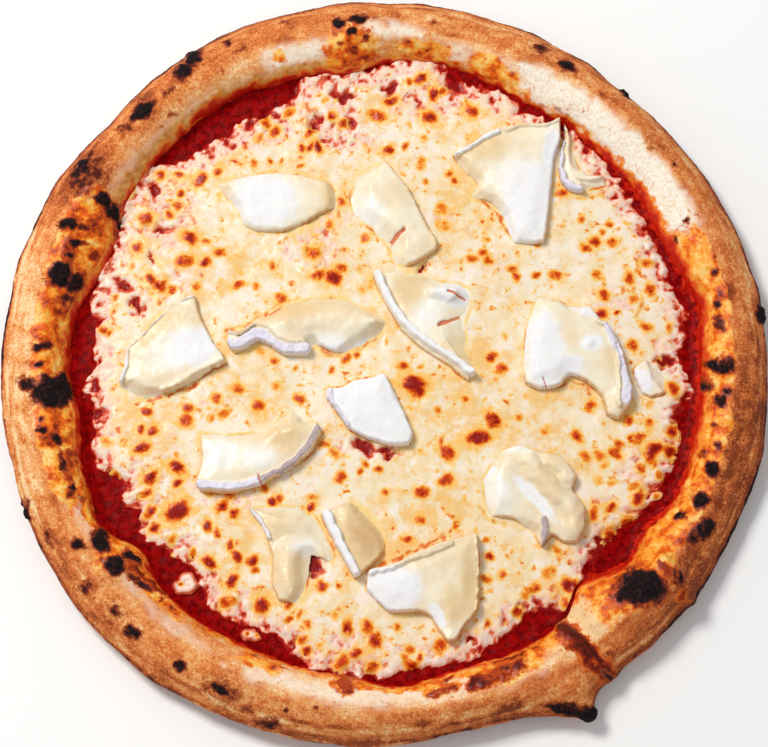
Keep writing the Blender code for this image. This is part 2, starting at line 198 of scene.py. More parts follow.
# Brown spots on the mozzarella: x, y, breadth, depth of browning.
SPOTS = (
    (-88, 84, 4.0, 0.8), (-79, 81.5, 5.0, 1.0), (-96, 84, 4.0, 0.9), (-109, 75.5, 3.5, 0.7),
    (-87.3, 75.5, 3.4, 0.8), (-88.6, 70, 4.0, 0.8), (-102, 64, 5.4, 1.0), (-92, 66, 4.0, 0.7),
    (-83, 55.5, 5.6, 1.0), (-75.5, 53.5, 3.4, 0.6), (-105, 51, 5.0, 0.9), (-70, 49, 4.6, 0.8),
    (-85, 44.5, 6.0, 1.0), (-76, 44.5, 4.4, 0.8), (-107, 42.5, 3.0, 0.5), (-95, 34, 5.0, 1.1),
    (-99, 37, 4.0, 1.0), (-90, 32, 3.4, 0.8), (-80, 33.5, 4.2, 0.6), (-62, 34.5, 4.6, 0.7),
    (-54.5, 33.5, 3.2, 0.6), (-43.7, 28.7, 4.8, 0.7), (-21.5, 37.5, 6.0, 1.1), (-28, 38.5, 4.8, 0.9),
    (-30, 49, 7.0, 0.7), (-23, 61.5, 4.0, 0.6), (-18, 41.5, 4.0, 0.7), (-18.5, 71.5, 4.0, 0.6),
    (-32, 96.5, 3.2, 1.2), (-28.6, 96.3, 3.2, 1.5), (-35.5, 96, 3.2, 0.9), (-32, 103, 4.0, 0.8),
    (-18, 107.5, 3.6, 0.9), (-22.5, 111, 3.8, 0.8), (-41, 112.5, 4.4, 0.7), (-47, 104, 4.4, 0.8),
    (-51, 108, 4.8, 0.8), (-54, 101, 4.0, 0.7), (-3, 111, 6.0, 0.9), (2, 95, 4.6, 1.0), (-56, 89, 3.0, 0.6),
    (-36, 88, 2.8, 0.6), (-49, 90, 2.4, 0.6), (-44, 90.5, 2.4, 0.6), (-71.5, 85, 3.4, 0.7),
    (-116, 13, 2.6, 0.6), (-114.5, 22, 2.4, 0.5), (-114, 29, 3.2, 0.5), (-118.5, 14.5, 3.4, 0.6),
    (-47.5, 43, 3.2, 0.7), (-9.5, 32.5, 2.8, 0.5), (-8, 55, 4.4, 0.5), (-16, 2, 3.4, 0.8),
    (-11.5, 3.5, 3.0, 0.7), (-46, 1, 3.4, 0.6), (-52.5, 6, 4.2, 0.4), (-22, -3, 3.0, 0.6),
    (-37, -2, 3.0, 0.5), (16, 128.5, 4.4, 1.0), (11.3, 126.5, 3.2, 0.7), (3, 118, 4.4, 0.9),
    (21.5, 121, 5.0, 1.0), (25, 122.5, 3.2, 0.7), (19.7, 110, 5.6, 1.1), (38, 113, 5.4, 0.9),
    (11, 106.5, 3.0, 0.4), (17.3, 100.3, 3.2, 0.5), (9, 97, 3.2, 0.8), (16, 89.5, 5.0, 0.6),
    (28, 84.5, 3.4, 0.7), (30, 81.5, 3.4, 0.7), (18, 81, 2.8, 0.6), (24.5, 68.5, 6.0, 0.5),
    (25.5, 61, 6.5, 0.4), (44, 54.5, 4.0, 0.4), (42, 48.5, 3.8, 0.6), (44.5, 45.5, 4.0, 0.7),
    (37.5, 46, 4.4, 0.6), (54.5, 41, 4.0, 0.6), (56, 38, 3.4, 0.8), (65.5, 54, 4.4, 0.7),
    (76.5, 75.5, 4.2, 0.9), (84.5, 63.5, 3.8, 0.6), (96.5, 61.5, 3.4, 0.7), (93.5, 58.5, 3.0, 0.6),
    (90, 53.5, 4.2, 0.9), (97.3, 53.5, 4.2, 0.7), (86, 51, 4.2, 0.7), (73, 39, 4.8, 0.7),
    (65, 39, 3.0, 0.7), (91, 38.5, 4.6, 0.6), (104, 37.5, 4.8, 0.7), (112, 44, 4.8, 0.6),
    (113, 32, 4.6, 0.8), (93.5, 30, 4.2, 0.9), (106, 28, 3.8, 0.6), (91.5, 21.5, 4.4, 1.0),
    (98.5, 22, 1.8, 0.9), (110.5, 16, 5.0, 0.6), (120.5, 15.5, 3.4, 0.6), (105, 7.5, 4.0, 0.9),
    (45.5, 3, 4.6, 0.8), (49, -2.5, 5.0, 0.8), (7.8, -1.5, 4.4, 0.7), (15.7, -1.5, 2.8, 0.4),
    (117, 1, 3.0, 0.8), (-101, -37, 4.6, 1.2), (-97, -49.5, 5.4, 1.2), (-86, -45, 4.8, 1.2),
    (-86, -52, 3.8, 0.9), (-85.5, -63.5, 7.4, 1.4), (-86.5, -39.5, 2.6, 0.6), (-98.5, -56, 4.0, 0.9),
    (-112, -48, 3.2, 0.8), (-116, -34, 4.6, 0.5), (-108.5, -35, 3.0, 0.5), (-99.5, -21, 4.2, 0.8),
    (-101.5, -29, 3.4, 0.9), (-96.5, -29.5, 4.0, 0.8), (-82.5, -19.5, 4.4, 0.9), (-83, -25, 5.0, 0.9),
    (-70.5, -15, 4.0, 0.7), (-61.5, -11, 5.0, 0.6), (-67, -22, 5.0, 0.5), (-72.5, -24, 4.0, 0.5),
    (-52.5, -18.5, 4.8, 0.7), (-35.5, -15.5, 4.8, 0.7), (-45.5, -10, 3.6, 0.5), (-97, -64, 5.0, 0.8),
    (-95, -70.5, 4.8, 0.8), (-87.5, -75.5, 4.4, 0.5), (-73, -70, 4.0, 1.0), (-69, -73, 3.2, 0.8),
    (-67, -61.5, 5.0, 0.9), (-62, -64.5, 3.8, 0.9), (-72, -55, 4.4, 0.6), (-64, -56, 4.6, 0.7),
    (-46.5, -59.5, 3.2, 1.1), (-43.5, -58.5, 4.0, 0.8), (-49.5, -54, 4.2, 0.6), (-30, -62, 3.6, 1.0),
    (-30, -58, 3.6, 0.5), (-18, -49, 4.6, 0.7), (-10, -46.5, 2.6, 0.8), (-2.5, -46, 3.4, 0.7),
    (-8, -43.5, 3.2, 0.7), (-21, -39, 4.6, 0.6), (-25, -35, 4.2, 0.6), (-72, -85, 5.0, 0.9),
    (-79, -81, 3.6, 0.5), (-54, -84.5, 4.6, 0.9), (-60.5, -83, 4.4, 0.9), (-63.5, -78, 3.4, 0.9),
    (-53, -88.5, 3.4, 0.7), (-62.5, -93, 4.6, 1.1), (-65, -101.5, 4.8, 0.8), (-62, -101, 3.4, 0.9),
    (-50, -103, 6.4, 0.9), (-34.5, -107, 3.0, 0.7), (-39, -103, 3.4, 0.8), (-39, -109, 3.4, 0.7),
    (-31, -111, 3.2, 0.6), (-33, -117, 4.2, 0.7), (-15, -112, 4.8, 0.9), (-6.5, -112, 5.0, 0.8),
    (-3.5, -117.5, 5.4, 1.0), (-11.5, -122.5, 4.4, 1.0), (-17, -126, 5.4, 0.8), (-4.5, -128, 4.4, 1.0),
    (-32, -121.5, 4.0, 0.8), (-25.5, -95, 4.6, 0.8), (-18.5, -94.5, 2.6, 0.6), (-20, -107.5, 4.0, 0.4),
    (12.5, -9, 6.6, 1.4), (14, -12, 5.0, 1.2), (45.5, -25, 5.6, 1.3), (39.5, -32.5, 6.2, 1.3),
    (26, -38.5, 5.2, 1.2), (24, -33.5, 3.8, 0.6), (26, -50.5, 5.0, 0.9), (15.8, -55.5, 4.8, 0.9),
    (15, -67.5, 4.4, 0.6), (0.5, -55.5, 3.2, 0.6), (34, -15.5, 3.6, 0.6), (42.5, -15.5, 2.4, 0.5),
    (22.5, -20.5, 3.2, 0.5), (9, -75.5, 3.6, 0.8), (30, -69.5, 2.8, 0.9), (42, -76, 2.6, 0.7),
    (43.5, -82.5, 3.0, 1.0), (42, -92, 4.2, 0.7), (48.5, -90, 3.6, 0.6), (67.5, -29, 4.6, 0.4),
    (80.5, -31.5, 4.0, 1.0), (84, -40, 4.6, 0.6), (90, -40, 4.6, 0.6), (96.5, -39, 5.2, 0.8),
    (98, -35.5, 4.8, 0.6), (106.5, -32.5, 5.0, 0.9), (103, -32.5, 3.4, 0.8), (110.5, -26, 4.4, 0.6),
    (112.5, -37, 5.2, 1.1), (110.5, -40.5, 5.0, 1.1), (119, -38, 4.6, 1.0), (120.5, -29.5, 4.8, 0.9),
    (107, -45.5, 3.8, 0.9), (112, -44, 3.0, 0.7), (114.6, -48, 3.0, 0.7), (105.5, -58, 4.8, 1.1),
    (104, -53, 3.6, 0.7), (113.5, -57, 3.2, 0.6), (94, -62, 3.8, 1.0), (86.5, -64.5, 4.6, 0.7),
    (101, -68, 5.8, 0.8), (93.5, -73, 5.0, 0.9), (92, -44, 4.2, 0.4), (89, -51, 4.4, 0.4),
    (95, -51.5, 4.2, 0.4), (71, -80, 4.2, 0.5), (68, -89.5, 5.0, 0.6), (62, -95.5, 4.8, 0.7),
    (58, -98, 4.2, 0.6), (76.5, -95, 5.6, 1.2), (74.5, -102.5, 4.2, 0.7), (55, -105.5, 4.2, 0.8),
    (79, -108, 4.2, 0.8), (121.5, -11, 4.6, 0.8), (102, -24.5, 4.4, 0.8), (111.5, -18, 3.8, 0.4),
    (86, -19, 4.4, 0.7), (5.5, -112, 3.4, 0.5), (23, -120, 5.4, 0.8), (14.5, -124.5, 3.4, 0.7),
    (8.5, -124, 3.4, 0.8), (10.5, -121.5, 3.2, 0.7), (11, -127, 4.2, 0.9), (42.5, -110.5, 2.6, 0.9),
    (56.5, -23.5, 3.0, 0.6),
)
# Brown spots on the crumbs: x, y, half length, half width, turn, strength.
CRUMB_SPOTS = (
    (-83.5, -94, 1.1, 0.9, 0, 0.9), (-56, -114.5, 1.0, 1.0, 0, 0.7), (-52, -115, 1.0, 1.0, 0, 0.6),
)
# Crumbs of mozzarella: thickness and outline, clockwise from above.
CRUMBS = {
    "mozzarella_crumb_01": (2.4, ((-87, -92), (-83, -89), (-78, -91), (-76, -95), (-81, -99), (-86, -97))),
    "mozzarella_crumb_02": (2.0, ((-58, -113), (-54, -112), (-50, -114), (-50, -117), (-54, -118),
                                  (-58, -117))),
}
# Finishes of the goat cheese's raised bands. Each also has the ones before it.
# The lilac and grey finishes are painted shade on the rind: a cool violet-white tint and a darker dull
# mauve.
FINISHES = ("cream", "white", "lilac_shade", "grey_shade")
# What a goat cheese piece has unless it says otherwise.
PLAIN_SLICE = dict(soft=(), strips=(), domes=(), folds=(), white=(), pale=(), tan=(), cuts=(), dusk=1.0)
# Goat cheese pieces. The outline runs clockwise from above.
# thickness: height of the piece; body: its flat part as a share of that.
# soft: direction that the edge melts towards, and how far.
# strips: width, height share, finish and line of the raised bands of rind.
# domes: x, y, half length, half width, turn, height share.
# folds: half width, height share and line of the round ridges.
# cuts: half width, depth and line of the slits.
# white, pale and tan: x, y, half length, half width, turn of the tinted places; dusk deepens the tan.
SLICES = {
    "goat_cheese_01": dict(
        thickness=4.5, body=0.9, soft=((180, 2), (0, 2)), white=((-51, 71, 12, 10.5, 0),),
        tan=((-23, 73, 3, 8, 0),),
        outline=((-71, 79), (-60, 82), (-47, 84), (-35, 83), (-24, 80), (-20, 74), (-21, 69), (-27, 66),
                 (-33, 62), (-43, 58), (-54, 58), (-60, 61), (-63, 68), (-68, 74)),
    ),
    "goat_cheese_02": dict(
        thickness=5.0, body=0.95, soft=((200, 5), (140, 3)), pale=((-6, 66, 7, 9, 25),),
        strips=((1.0, 1.0, "cream", ((1, 89.5), (7, 83), (12, 75), (18, 62), (22.5, 51.5))),),
        cuts=((1.5, 1.6, ((8.5, 58), (5, 55), (2, 51.5))),),
        outline=((0, 90), (6, 83), (11, 76), (17, 63), (23, 51), (19, 47), (12, 43), (6, 43), (3, 47),
                 (2, 51), (-6, 59), (-13, 66), (-15, 73), (-13, 80), (-6, 86)),
    ),
    "goat_cheese_03": dict(
        thickness=6.0, body=0.95, soft=((200, 1.5),), white=((62, 69, 9.5, 17, -14), (72, 92, 3.4, 10, -5)),
        pale=((56, 80, 10, 12, 0),), tan=((45, 95, 10, 6, 20),),
        strips=((2.4, 1.05, "white", ((31, 92), (38, 96), (46, 101), (49, 102))),
                (2.0, 0.95, "cream", ((52, 103), (60, 105.5), (70, 105), (76, 108)))),
        outline=((30, 92), (37, 96), (47, 103), (55, 105), (70, 106), (76, 109), (76, 100), (73, 90),
                 (71, 72), (68, 53), (56, 53), (53, 58), (51, 65), (46, 71), (38, 74), (40, 80), (34, 86)),
    ),
    "goat_cheese_04": dict(
        thickness=5.0, body=0.7, soft=((340, 4),), domes=((88, 80, 6, 4, 0, 0.8),),
        strips=((3.0, 1.05, "lilac_shade", ((77, 104), (76, 95), (75, 86), (77, 80), (81, 77), (84, 76))),),
        outline=((78, 107), (81, 98), (83, 88), (87, 83), (94, 83), (95, 79), (89, 77), (84, 75), (79, 76),
                 (76, 80), (75, 86), (76, 93), (78, 100)),
    ),
    "goat_cheese_05": dict(
        thickness=5.5, body=0.95, soft=((240, 3),), white=((-80, 6, 8, 7, 0),),
        pale=((-86, 4, 14, 10, 20),), tan=((-97, 13, 6, 14, -45), (-77, 20, 3, 8, -15)),
        strips=((1.8, 1.0, "white", ((-108, 5), (-108, -2), (-110, -9))),
                (1.0, 0.95, "white", ((-107, 6), (-102, 11), (-96, 18), (-88, 25), (-81, 28))),
                (2.2, 0.8, "cream", ((-92, -12), (-84, -8), (-76, -3), (-68, 1)))),
        outline=((-80, 29), (-78, 21), (-72, 9), (-66, 0), (-72, -3), (-79, -8), (-88, -12), (-97, -15),
                 (-104, -15), (-111, -10), (-109, -2), (-108, 5), (-103, 10), (-97, 17), (-88, 25)),
    ),
    "goat_cheese_06": dict(
        thickness=6.0, body=0.8, soft=((330, 3), (90, 2)),
        white=((-22, 6.2, 7, 1.8, -5), (-9, 8.5, 4, 1.2, 25)),
        pale=((-22, 9.5, 9, 3.4, -5),), tan=((-36, 22, 16, 5, 10),),
        folds=((9, 1.0, ((-40, 17), (-20, 18), (-4, 17))),),
        strips=((4.4, 0.92, "lilac_shade", ((-65, 7), (-59, 8), (-54, 12), (-50, 10.5), (-46, 6.5), (-41, 5),
                                      (-33, 5.5))),
                (0.9, 1.05, "cream", ((-65, 12), (-59, 12), (-54, 16), (-49, 14), (-45, 10), (-40, 8),
                                      (-33, 8.5)))),
        outline=((-66, 14), (-60, 14), (-54, 19), (-48, 21), (-41, 26), (-30, 28), (-18, 28), (-7, 23),
                 (1, 18), (-1, 13), (-7, 9), (-15, 5), (-22, 5), (-29, 8), (-32, 3), (-42, 3), (-48, 7),
                 (-53, 9), (-58, 6), (-63, 4), (-66, 8)),
    ),
    "goat_cheese_07": dict(
        thickness=6.0, body=0.5, soft=((350, 7), (60, 3)), white=((30, 29, 8, 4, -8),),
        pale=((18, 20, 7, 10, -35),), tan=((10, 32, 7, 8, -35), (35, 5, 4, 9, 0)),
        folds=((4.5, 1.0, ((22, 31), (33, 29))),),
        strips=((3.4, 1.1, "white", ((-2.5, 38), (1, 29), (6, 20.5), (11, 14), (20, 7), (30, 0.5),
                                     (36.5, -5))),),
        cuts=((1.0, 1.6, ((27, 30.5), (30, 29), (34, 27.5))), (1.1, 1.4, ((23, 16), (29, 19), (36, 21)))),
        outline=((-5, 39), (6, 41), (17, 39), (24, 36), (32, 35), (38, 31), (37, 25), (35, 18), (35, 9),
                 (39, 0), (39, -5), (35, -8), (28, -2), (17, 5), (8, 13), (3, 21), (-2, 31)),
    ),
    "goat_cheese_08": dict(
        thickness=7.0, body=0.95, soft=((120, 3),),
        white=((67, 4, 7.5, 15, 5), (87, 7, 4, 3, 20), (84, 23, 6, 3, -25), (77, -3, 6, 4, 0)),
        domes=((86, 7, 5, 4, 20, 1.05),),
        strips=((4.0, 0.85, "lilac_shade", ((94, 15), (97, 9), (100, 1), (101, -5), (102, -11), (101, -17))),
                (1.6, 1.1, "cream", ((89, 17), (93, 15), (96, 9), (98, 1), (98, -8), (98, -20)))),
        cuts=((0.5, 1.0, ((66, -8), (68, -12))),),
        outline=((62, 21), (65, 29), (72, 28), (79, 25), (86, 25), (91, 19), (96, 14), (100, 4), (102, -4),
                 (104, -13), (102, -20), (98, -25), (93, -23), (91, -15), (85, -9), (78, -6), (73, -11),
                 (65, -12), (59, -9), (59, 4), (60, 14)),
    ),
    "goat_cheese_09": dict(
        thickness=3.5, body=0.9, soft=((20, 4),), white=((108, -9, 4, 5, 0),),
        outline=((105, -3), (109, 1), (115, -1), (118, -7), (118, -13), (112, -15), (108, -13), (106, -8)),
    ),
    "goat_cheese_10": dict(
        thickness=6.0, body=1.0, white=((-5, -20, 22, 20, 0),),
        strips=((2.2, 0.9, "lilac_shade", ((-23, -13), (-22, -18), (-18, -24), (-15, -28))),),
        outline=((-24, -12), (-17, -11), (-12, -8), (-5, -7), (0, -5), (3, -10), (8, -21), (12, -31),
                 (10, -36), (2, -36), (-7, -33), (-15, -29), (-19, -23), (-24, -16)),
    ),
    "goat_cheese_11": dict(
        thickness=6.0, body=0.92, soft=((100, 2),), pale=((-68, -39, 9, 9, 0), (-52, -42, 10, 6, 0)),
        tan=((-42, -34, 12, 8, 35),), folds=((7, 1.0, ((-45, -30), (-37, -30))),),
        strips=((3.2, 0.95, "lilac_shade", ((-77, -53), (-67, -54), (-58, -53.5), (-51, -51))),
                (2.4, 0.9, "grey_shade", ((-51, -51), (-44, -48), (-36, -42), (-31, -36), (-27, -28)))),
        cuts=((0.5, 1.0, ((-52, -49), (-51, -53))),),
        outline=((-76, -31), (-63, -31), (-52, -30), (-46, -26), (-39, -21), (-33, -25), (-28, -26),
                 (-26, -31), (-31, -40), (-40, -47), (-51, -53), (-62, -56), (-74, -56), (-78, -53),
                 (-76, -42)),
    ),
    "goat_cheese_12": dict(
        thickness=8.0, body=0.55, soft=((180, 3),), white=((43, -47, 3, 2, 0), (62, -58.5, 10, 2.2, -46)),
        pale=((47, -56, 6, 12, 15), (67, -65, 7, 2.2, -48), (55, -38, 6, 2.4, 0)),
        tan=((70, -50, 8, 10, -40), (80, -68, 5, 8, 0), (74, -44, 8, 4, -25)), dusk=0.6,
        folds=((5.8, 1.0, ((61, -43), (64, -49), (69.5, -55.5), (75.7, -60), (79, -66), (78.5, -72))),
               (5.0, 0.95, ((68, -42.5), (75, -46), (77, -50))), (9.0, 0.66, ((49, -46), (50, -57)))),
        strips=((2.4, 0.75, "grey_shade", ((66, -68), (66, -74), (66.5, -80))),),
        outline=((42, -60), (41, -51), (44, -45), (49, -38), (57, -36), (66, -39), (74, -41), (80, -49),
                 (78, -55), (83, -62), (83, -71), (80, -77), (74, -77), (69, -74), (65, -79), (62, -73),
                 (53, -67), (45, -66)),
    ),
    "goat_cheese_13": dict(
        thickness=5.0, body=0.5, soft=((60, 5), (330, 3)), pale=((-33, -79, 6, 4, 0),),
        tan=((-40, -90, 8, 14, 0), (-44, -69, 10, 6, 0)), dusk=0.7,
        folds=((6.8, 1.0, ((-39, -81), (-40, -90), (-39, -96))), (7.5, 0.75, ((-46, -69), (-33, -68)))),
        strips=((1.6, 0.9, "white", ((-55, -64), (-51, -68), (-47, -75))),),
        outline=((-56, -63), (-46, -61), (-34, -62), (-28, -66), (-24, -74), (-20, -82), (-22, -85),
                 (-30, -82), (-31, -90), (-32, -97), (-36, -102), (-43, -101), (-46, -94), (-46, -83),
                 (-50, -71)),
    ),
    "goat_cheese_14": dict(
        thickness=6.5, body=0.75, soft=((30, 1.5),), tan=((-8, -76, 10, 15, 30),), dusk=1.8,
        strips=((3.8, 1.15, "white", ((-24, -65.5), (-21, -71), (-18, -78), (-15, -83), (-11.5, -90))),),
        outline=((-26, -65), (-21, -63), (-14, -60), (-7, -66), (0, -75), (0, -81), (-4, -86), (-12, -92),
                 (-17, -84), (-22, -74)),
    ),
    "goat_cheese_15": dict(
        thickness=6.5, body=0.95, white=((3, -97, 11, 8, 0), (22, -108, 2, 5, 30)),
        tan=((35, -95, 4, 18, 0), (29, -104, 6, 8, 0)),
        strips=((3.0, 1.05, "cream", ((-5, -90), (2, -88), (12, -84), (20, -81), (27, -78))),
                (1.0, 1.0, "cream", ((38, -75), (39, -85), (39, -100), (38, -106)))),
        outline=((-6, -89), (3, -87), (12, -82), (21, -78), (32, -75), (38, -73), (39, -82), (39, -95),
                 (38, -106), (33, -112), (29, -118), (25, -118), (19, -108), (14, -106), (2, -106),
                 (-7, -97)),
    ),
}
# Scorch marks on the crust: x, y, half length, half width, turn, strength. Above 1 they are black.
SCORCHES = (
    (-82.5, 137, 5.0, 3.6, 35, 1.5), (-87, 130.5, 4.6, 3.6, 50, 1.6), (-93.5, 121.5, 4.0, 2.6, 45, 1.0),
    (-104, 113, 6.6, 3.4, 45, 1.5), (-111.5, 105.5, 5.0, 3.4, 45, 0.7), (-92, 111, 2.2, 1.8, 0, 0.7),
    (-68.5, 144, 2.4, 1.4, 25, 1.0), (-43.5, 153.5, 3.0, 1.2, 12, 0.7), (-63, 141, 5.0, 2.0, 20, 0.5),
    (-130, 85.5, 5.6, 3.8, 50, 1.2), (-126, 92, 3.4, 2.0, 45, 0.8), (-127, 82, 11.0, 9.0, 50, 0.75),
    (-120, 73, 4.4, 3.0, -45, 1.6), (-116.5, 67, 6.0, 3.6, -55, 1.4), (-112.5, 60, 3.6, 2.4, -60, 1.0),
    (-134.5, 61, 4.6, 3.0, 0, 1.6), (-128, 60, 4.0, 1.6, -20, 0.9), (-131, 52, 3.6, 2.0, 0, 1.4),
    (-134, 47, 3.0, 2.0, 40, 1.2), (-137.5, 38.5, 4.6, 5.6, 20, 1.8), (-131, 35, 4.6, 4.4, 0, 1.3),
    (-135, 27, 7.0, 3.2, 0, 0.7), (-144, 6.5, 5.0, 2.2, 15, 1.2), (-145.5, -1, 3.4, 1.6, 0, 1.2),
    (-138, -12.5, 8.6, 6.8, 10, 1.9), (-149, -9.5, 5.0, 3.4, 0, 1.0), (-143.5, -24.5, 1.6, 1.8, 0, 0.9),
    (-142.5, -30, 3.2, 1.4, -10, 1.5), (-137, -33, 3.4, 2.4, -40, 1.0), (-134, -44, 2.2, 6.4, 15, 0.8),
    (-130, -55, 2.0, 4.0, 10, 0.9), (-150, -66, 3.2, 7.0, 12, 1.7), (-144.5, -80, 3.4, 3.4, 40, 1.5),
    (-126, -78, 3.4, 2.6, 0, 1.1), (-138.5, -75.5, 1.8, 5.0, 25, 0.7), (-116.5, -76.5, 5.0, 4.0, -60, 1.6),
    (-110.5, -86.5, 5.2, 4.0, -30, 1.7), (-104, -83.5, 5.0, 2.4, -30, 1.2), (-100, -94, 8.0, 1.4, -40, 0.9),
    (-122, -95.5, 5.0, 4.0, 0, 0.6), (-110, -105, 5.4, 2.6, -50, 0.8), (-102.5, -114.5, 4.0, 2.6, -30, 1.4),
    (-83, -128.5, 3.4, 2.4, -30, 1.3), (-66, -138, 4.6, 2.6, -40, 1.3), (-66, -138, 11.0, 6.0, -25, 0.55),
    (-47, -151.5, 6.0, 3.0, -15, 0.8), (-27.5, -145, 2.2, 1.4, -15, 1.0), (-39, -146.5, 1.6, 1.2, 0, 0.8),
    (-16, -135, 3.4, 3.0, 0, 0.55), (24, -138.5, 4.6, 2.2, 10, 0.5), (44, -132.5, 5.0, 2.0, 12, 0.6),
    (50, -129, 3.6, 2.8, 30, 0.7), (89, -131, 3.4, 2.2, -52, 1.0), (74, -145.5, 8.0, 2.4, -8, 1.4),
    (83, -148, 4.4, 3.6, 0, 1.8), (105.5, -96, 9.6, 7.2, 10, 1.9), (97, -98, 6.0, 4.4, 0, 0.95),
    (119.5, -93, 2.2, 4.6, 0, 1.1), (131.5, -71.5, 8.5, 5.0, 45, 1.05), (122.5, -65.5, 2.6, 2.2, 0, 1.1),
    (131, -59.5, 3.6, 3.6, 30, 1.5), (136.5, -47, 3.0, 4.4, -15, 1.6), (141.5, -17.5, 3.6, 3.2, 0, 1.2),
    (135, -10, 4.0, 3.2, 0, 0.95), (144.5, -13, 3.4, 2.4, 0, 1.0), (142, -1.5, 7.0, 3.6, -5, 1.35),
    (137.5, -27, 2.0, 2.0, 0, 0.8), (139, -36, 2.0, 3.0, 0, 0.8), (133, -40, 2.4, 2.2, 0, 0.8),
    (141.5, 17.5, 3.0, 4.0, 0, 1.05), (140.5, 25, 1.8, 2.4, 0, 0.9), (140.5, 39, 1.6, 2.0, 0, 1.1),
    (129.5, 62.5, 1.7, 1.9, 0, 1.1), (123.5, 54, 1.5, 1.8, 0, 0.9), (160.5, 20.7, 3.4, 5.0, 0, 1.6),
    (106, 121.5, 4.0, 2.8, -45, 1.6), (79.5, 133.5, 4.6, 3.0, -35, 1.3), (68, 141.5, 4.0, 3.2, -30, 1.05),
    (125.5, 88.5, 1.2, 1.2, 0, 1.0), (113, 98, 4.0, 3.0, -45, 0.5), (-19.5, 153.5, 3.4, 2.4, 0, 1.6),
    (-14, 149, 2.4, 2.2, 0, 1.4), (-11, 155, 6.0, 2.0, 0, 1.2), (-8, 147, 2.2, 2.0, 0, 0.9),
    (-13, 142, 2.0, 1.6, 0, 0.8), (-20, 144, 1.6, 1.4, 0, 0.8), (22, 154, 3.0, 2.2, 0, 0.5),
)
# Orange glazed bands on the crust: from and to angle, from and to share of the way from foot to crest,
# strength.
GLAZE_BANDS = (
    (150, 206, -0.2, 1.0, 1.25), (-46, 24, -0.2, 0.93, 0.95), (24, 62, -0.2, 0.22, 0.5),
    (60, 98, -0.2, 0.18, 0.6), (206, 232, -0.2, 0.45, 0.9), (232, 262, -0.2, 0.2, 0.9),
    (262, 303, -0.2, 0.36, 1.0),
)
# Ochre bands, placed in the same way.
OCHRE_BANDS = ((98, 152, -0.1, 0.34, 0.95),)
# Orange patches on the crust: x, y, half length, half width, turn, strength.
GLAZE_SPOTS = (
    (-14, 140, 11, 12, 0, 1.55), (16, 138, 12, 7.5, 0, 1.3), (48, 128, 15, 8, -45, 1.35),
    (-45, 137, 4, 3, 0, 0.8), (99, -92, 18, 13, 20, 1.6), (91, -104, 6, 8, 0, 1.0),
    (-112, -84, 9, 7, -40, 0.9), (50, -128, 16, 6, 24, 1.6), (24, -137, 8, 4, 10, 1.2),
    (72, -116, 9, 5, 20, 0.8), (127, -68, 10, 5, 50, 0.7), (-16, -135, 6, 4, 0, 1.1),
    (-52, -127, 12, 3, -18, 0.8),
)
# Red-brown scabs on the crust: half width, strength and line.
SCABS = (
    (4.4, 1.35, ((74, -114), (80, -119), (86, -126), (91, -133), (94, -138))),
    (3.4, 1.1, ((-133, 52), (-135, 47), (-134, 40), (-131, 33))),
    (3.4, 1.1, ((-119, 71), (-114, 62), (-111, 54))),
    (2.0, 1.0, ((-104, -87), (-97, -94), (-91, -99))),
    (3.0, 1.25, ((36, -135), (42, -134), (49, -131), (56, -128))),
    (2.8, 1.25, ((-17, -135), (-15, -136))),
    (2.2, 1.15, ((20, -139), (28, -138))),
    (2.4, 0.6, ((-22, 149), (-16, 152), (-8, 150))),
    (2.4, 1.0, ((114, -88), (120, -93), (121, -99))),
    (2.2, 0.9, ((-131, -40), (-132, -48), (-130, -56))),
    (3.0, 0.9, ((-128, 12), (-127, 2), (-128, -8))),
    (4.0, 0.9, ((128, -75), (134, -69))),
)
# Pale floury bands on the crust: from and to angle, from and to radius, strength.
FLOUR_BANDS = (
    (22, 66, 132, 149, 1.0), (66, 84, 137, 148, 0.6), (84, 96, 146, 154, 0.8), (98.5, 112, 138, 149, 0.8),
    (112, 150, 136, 144, 0.4), (205, 240, 138, 144, 0.5), (245, 285, 136, 145, 0.62),
    (285, 300, 140, 147, 0.4),
)
# How toasted the crust is, 0 pale to 1 brown, on its outer side and inside the crest: angle, tone.
# The outer tone is partly painted shade: darker at the right and lower right, away from the light, paler at
# the left.
OUTER_TONE_AND_SHADE = (
    (0, 0.8), (15, 0.5), (30, 0.5), (45, 0.5), (60, 0.5), (90, 0.5), (115, 0.66), (130, 0.7), (140, 0.66),
    (148, 1.0), (153, 0.9), (158, 0.34), (172, 0.2), (190, 0.25), (203, 0.38), (212, 0.54), (225, 0.5),
    (240, 0.52), (255, 0.5), (270, 0.55), (288, 0.64), (304, 0.68), (313, 0.86), (322, 0.95), (330, 0.88),
    (345, 0.9),
)
INNER_TONE = (
    (0, 0.5), (30, 0.4), (60, 0.2), (90, 0.3), (110, 0.34), (120, 0.38), (140, 0.4), (150, 0.5), (160, 0.3),
    (200, 0.3), (212, 0.5), (230, 0.5), (250, 0.3), (265, 0.05), (280, 0.15), (292, 0.4), (303, -0.05),
    (309, -0.05), (318, 0.45), (330, 0.55),
)
# Ridges and folds of the crust: half width, rise and line.
RIDGES = (
    (3.0, 2.4, ((115, -85), (121, -92), (124, -100))),
    (4.6, 2.6, ((74, -114), (80, -119), (86, -126), (91, -133))),
    (1.2, -0.8, ((156, -24), (149, -32), (142, -41))),
    (1.0, -0.7, ((155, -36), (149, -43), (145, -50))),
    (0.8, -0.6, ((128, -62), (134, -60), (140, -63))),
)


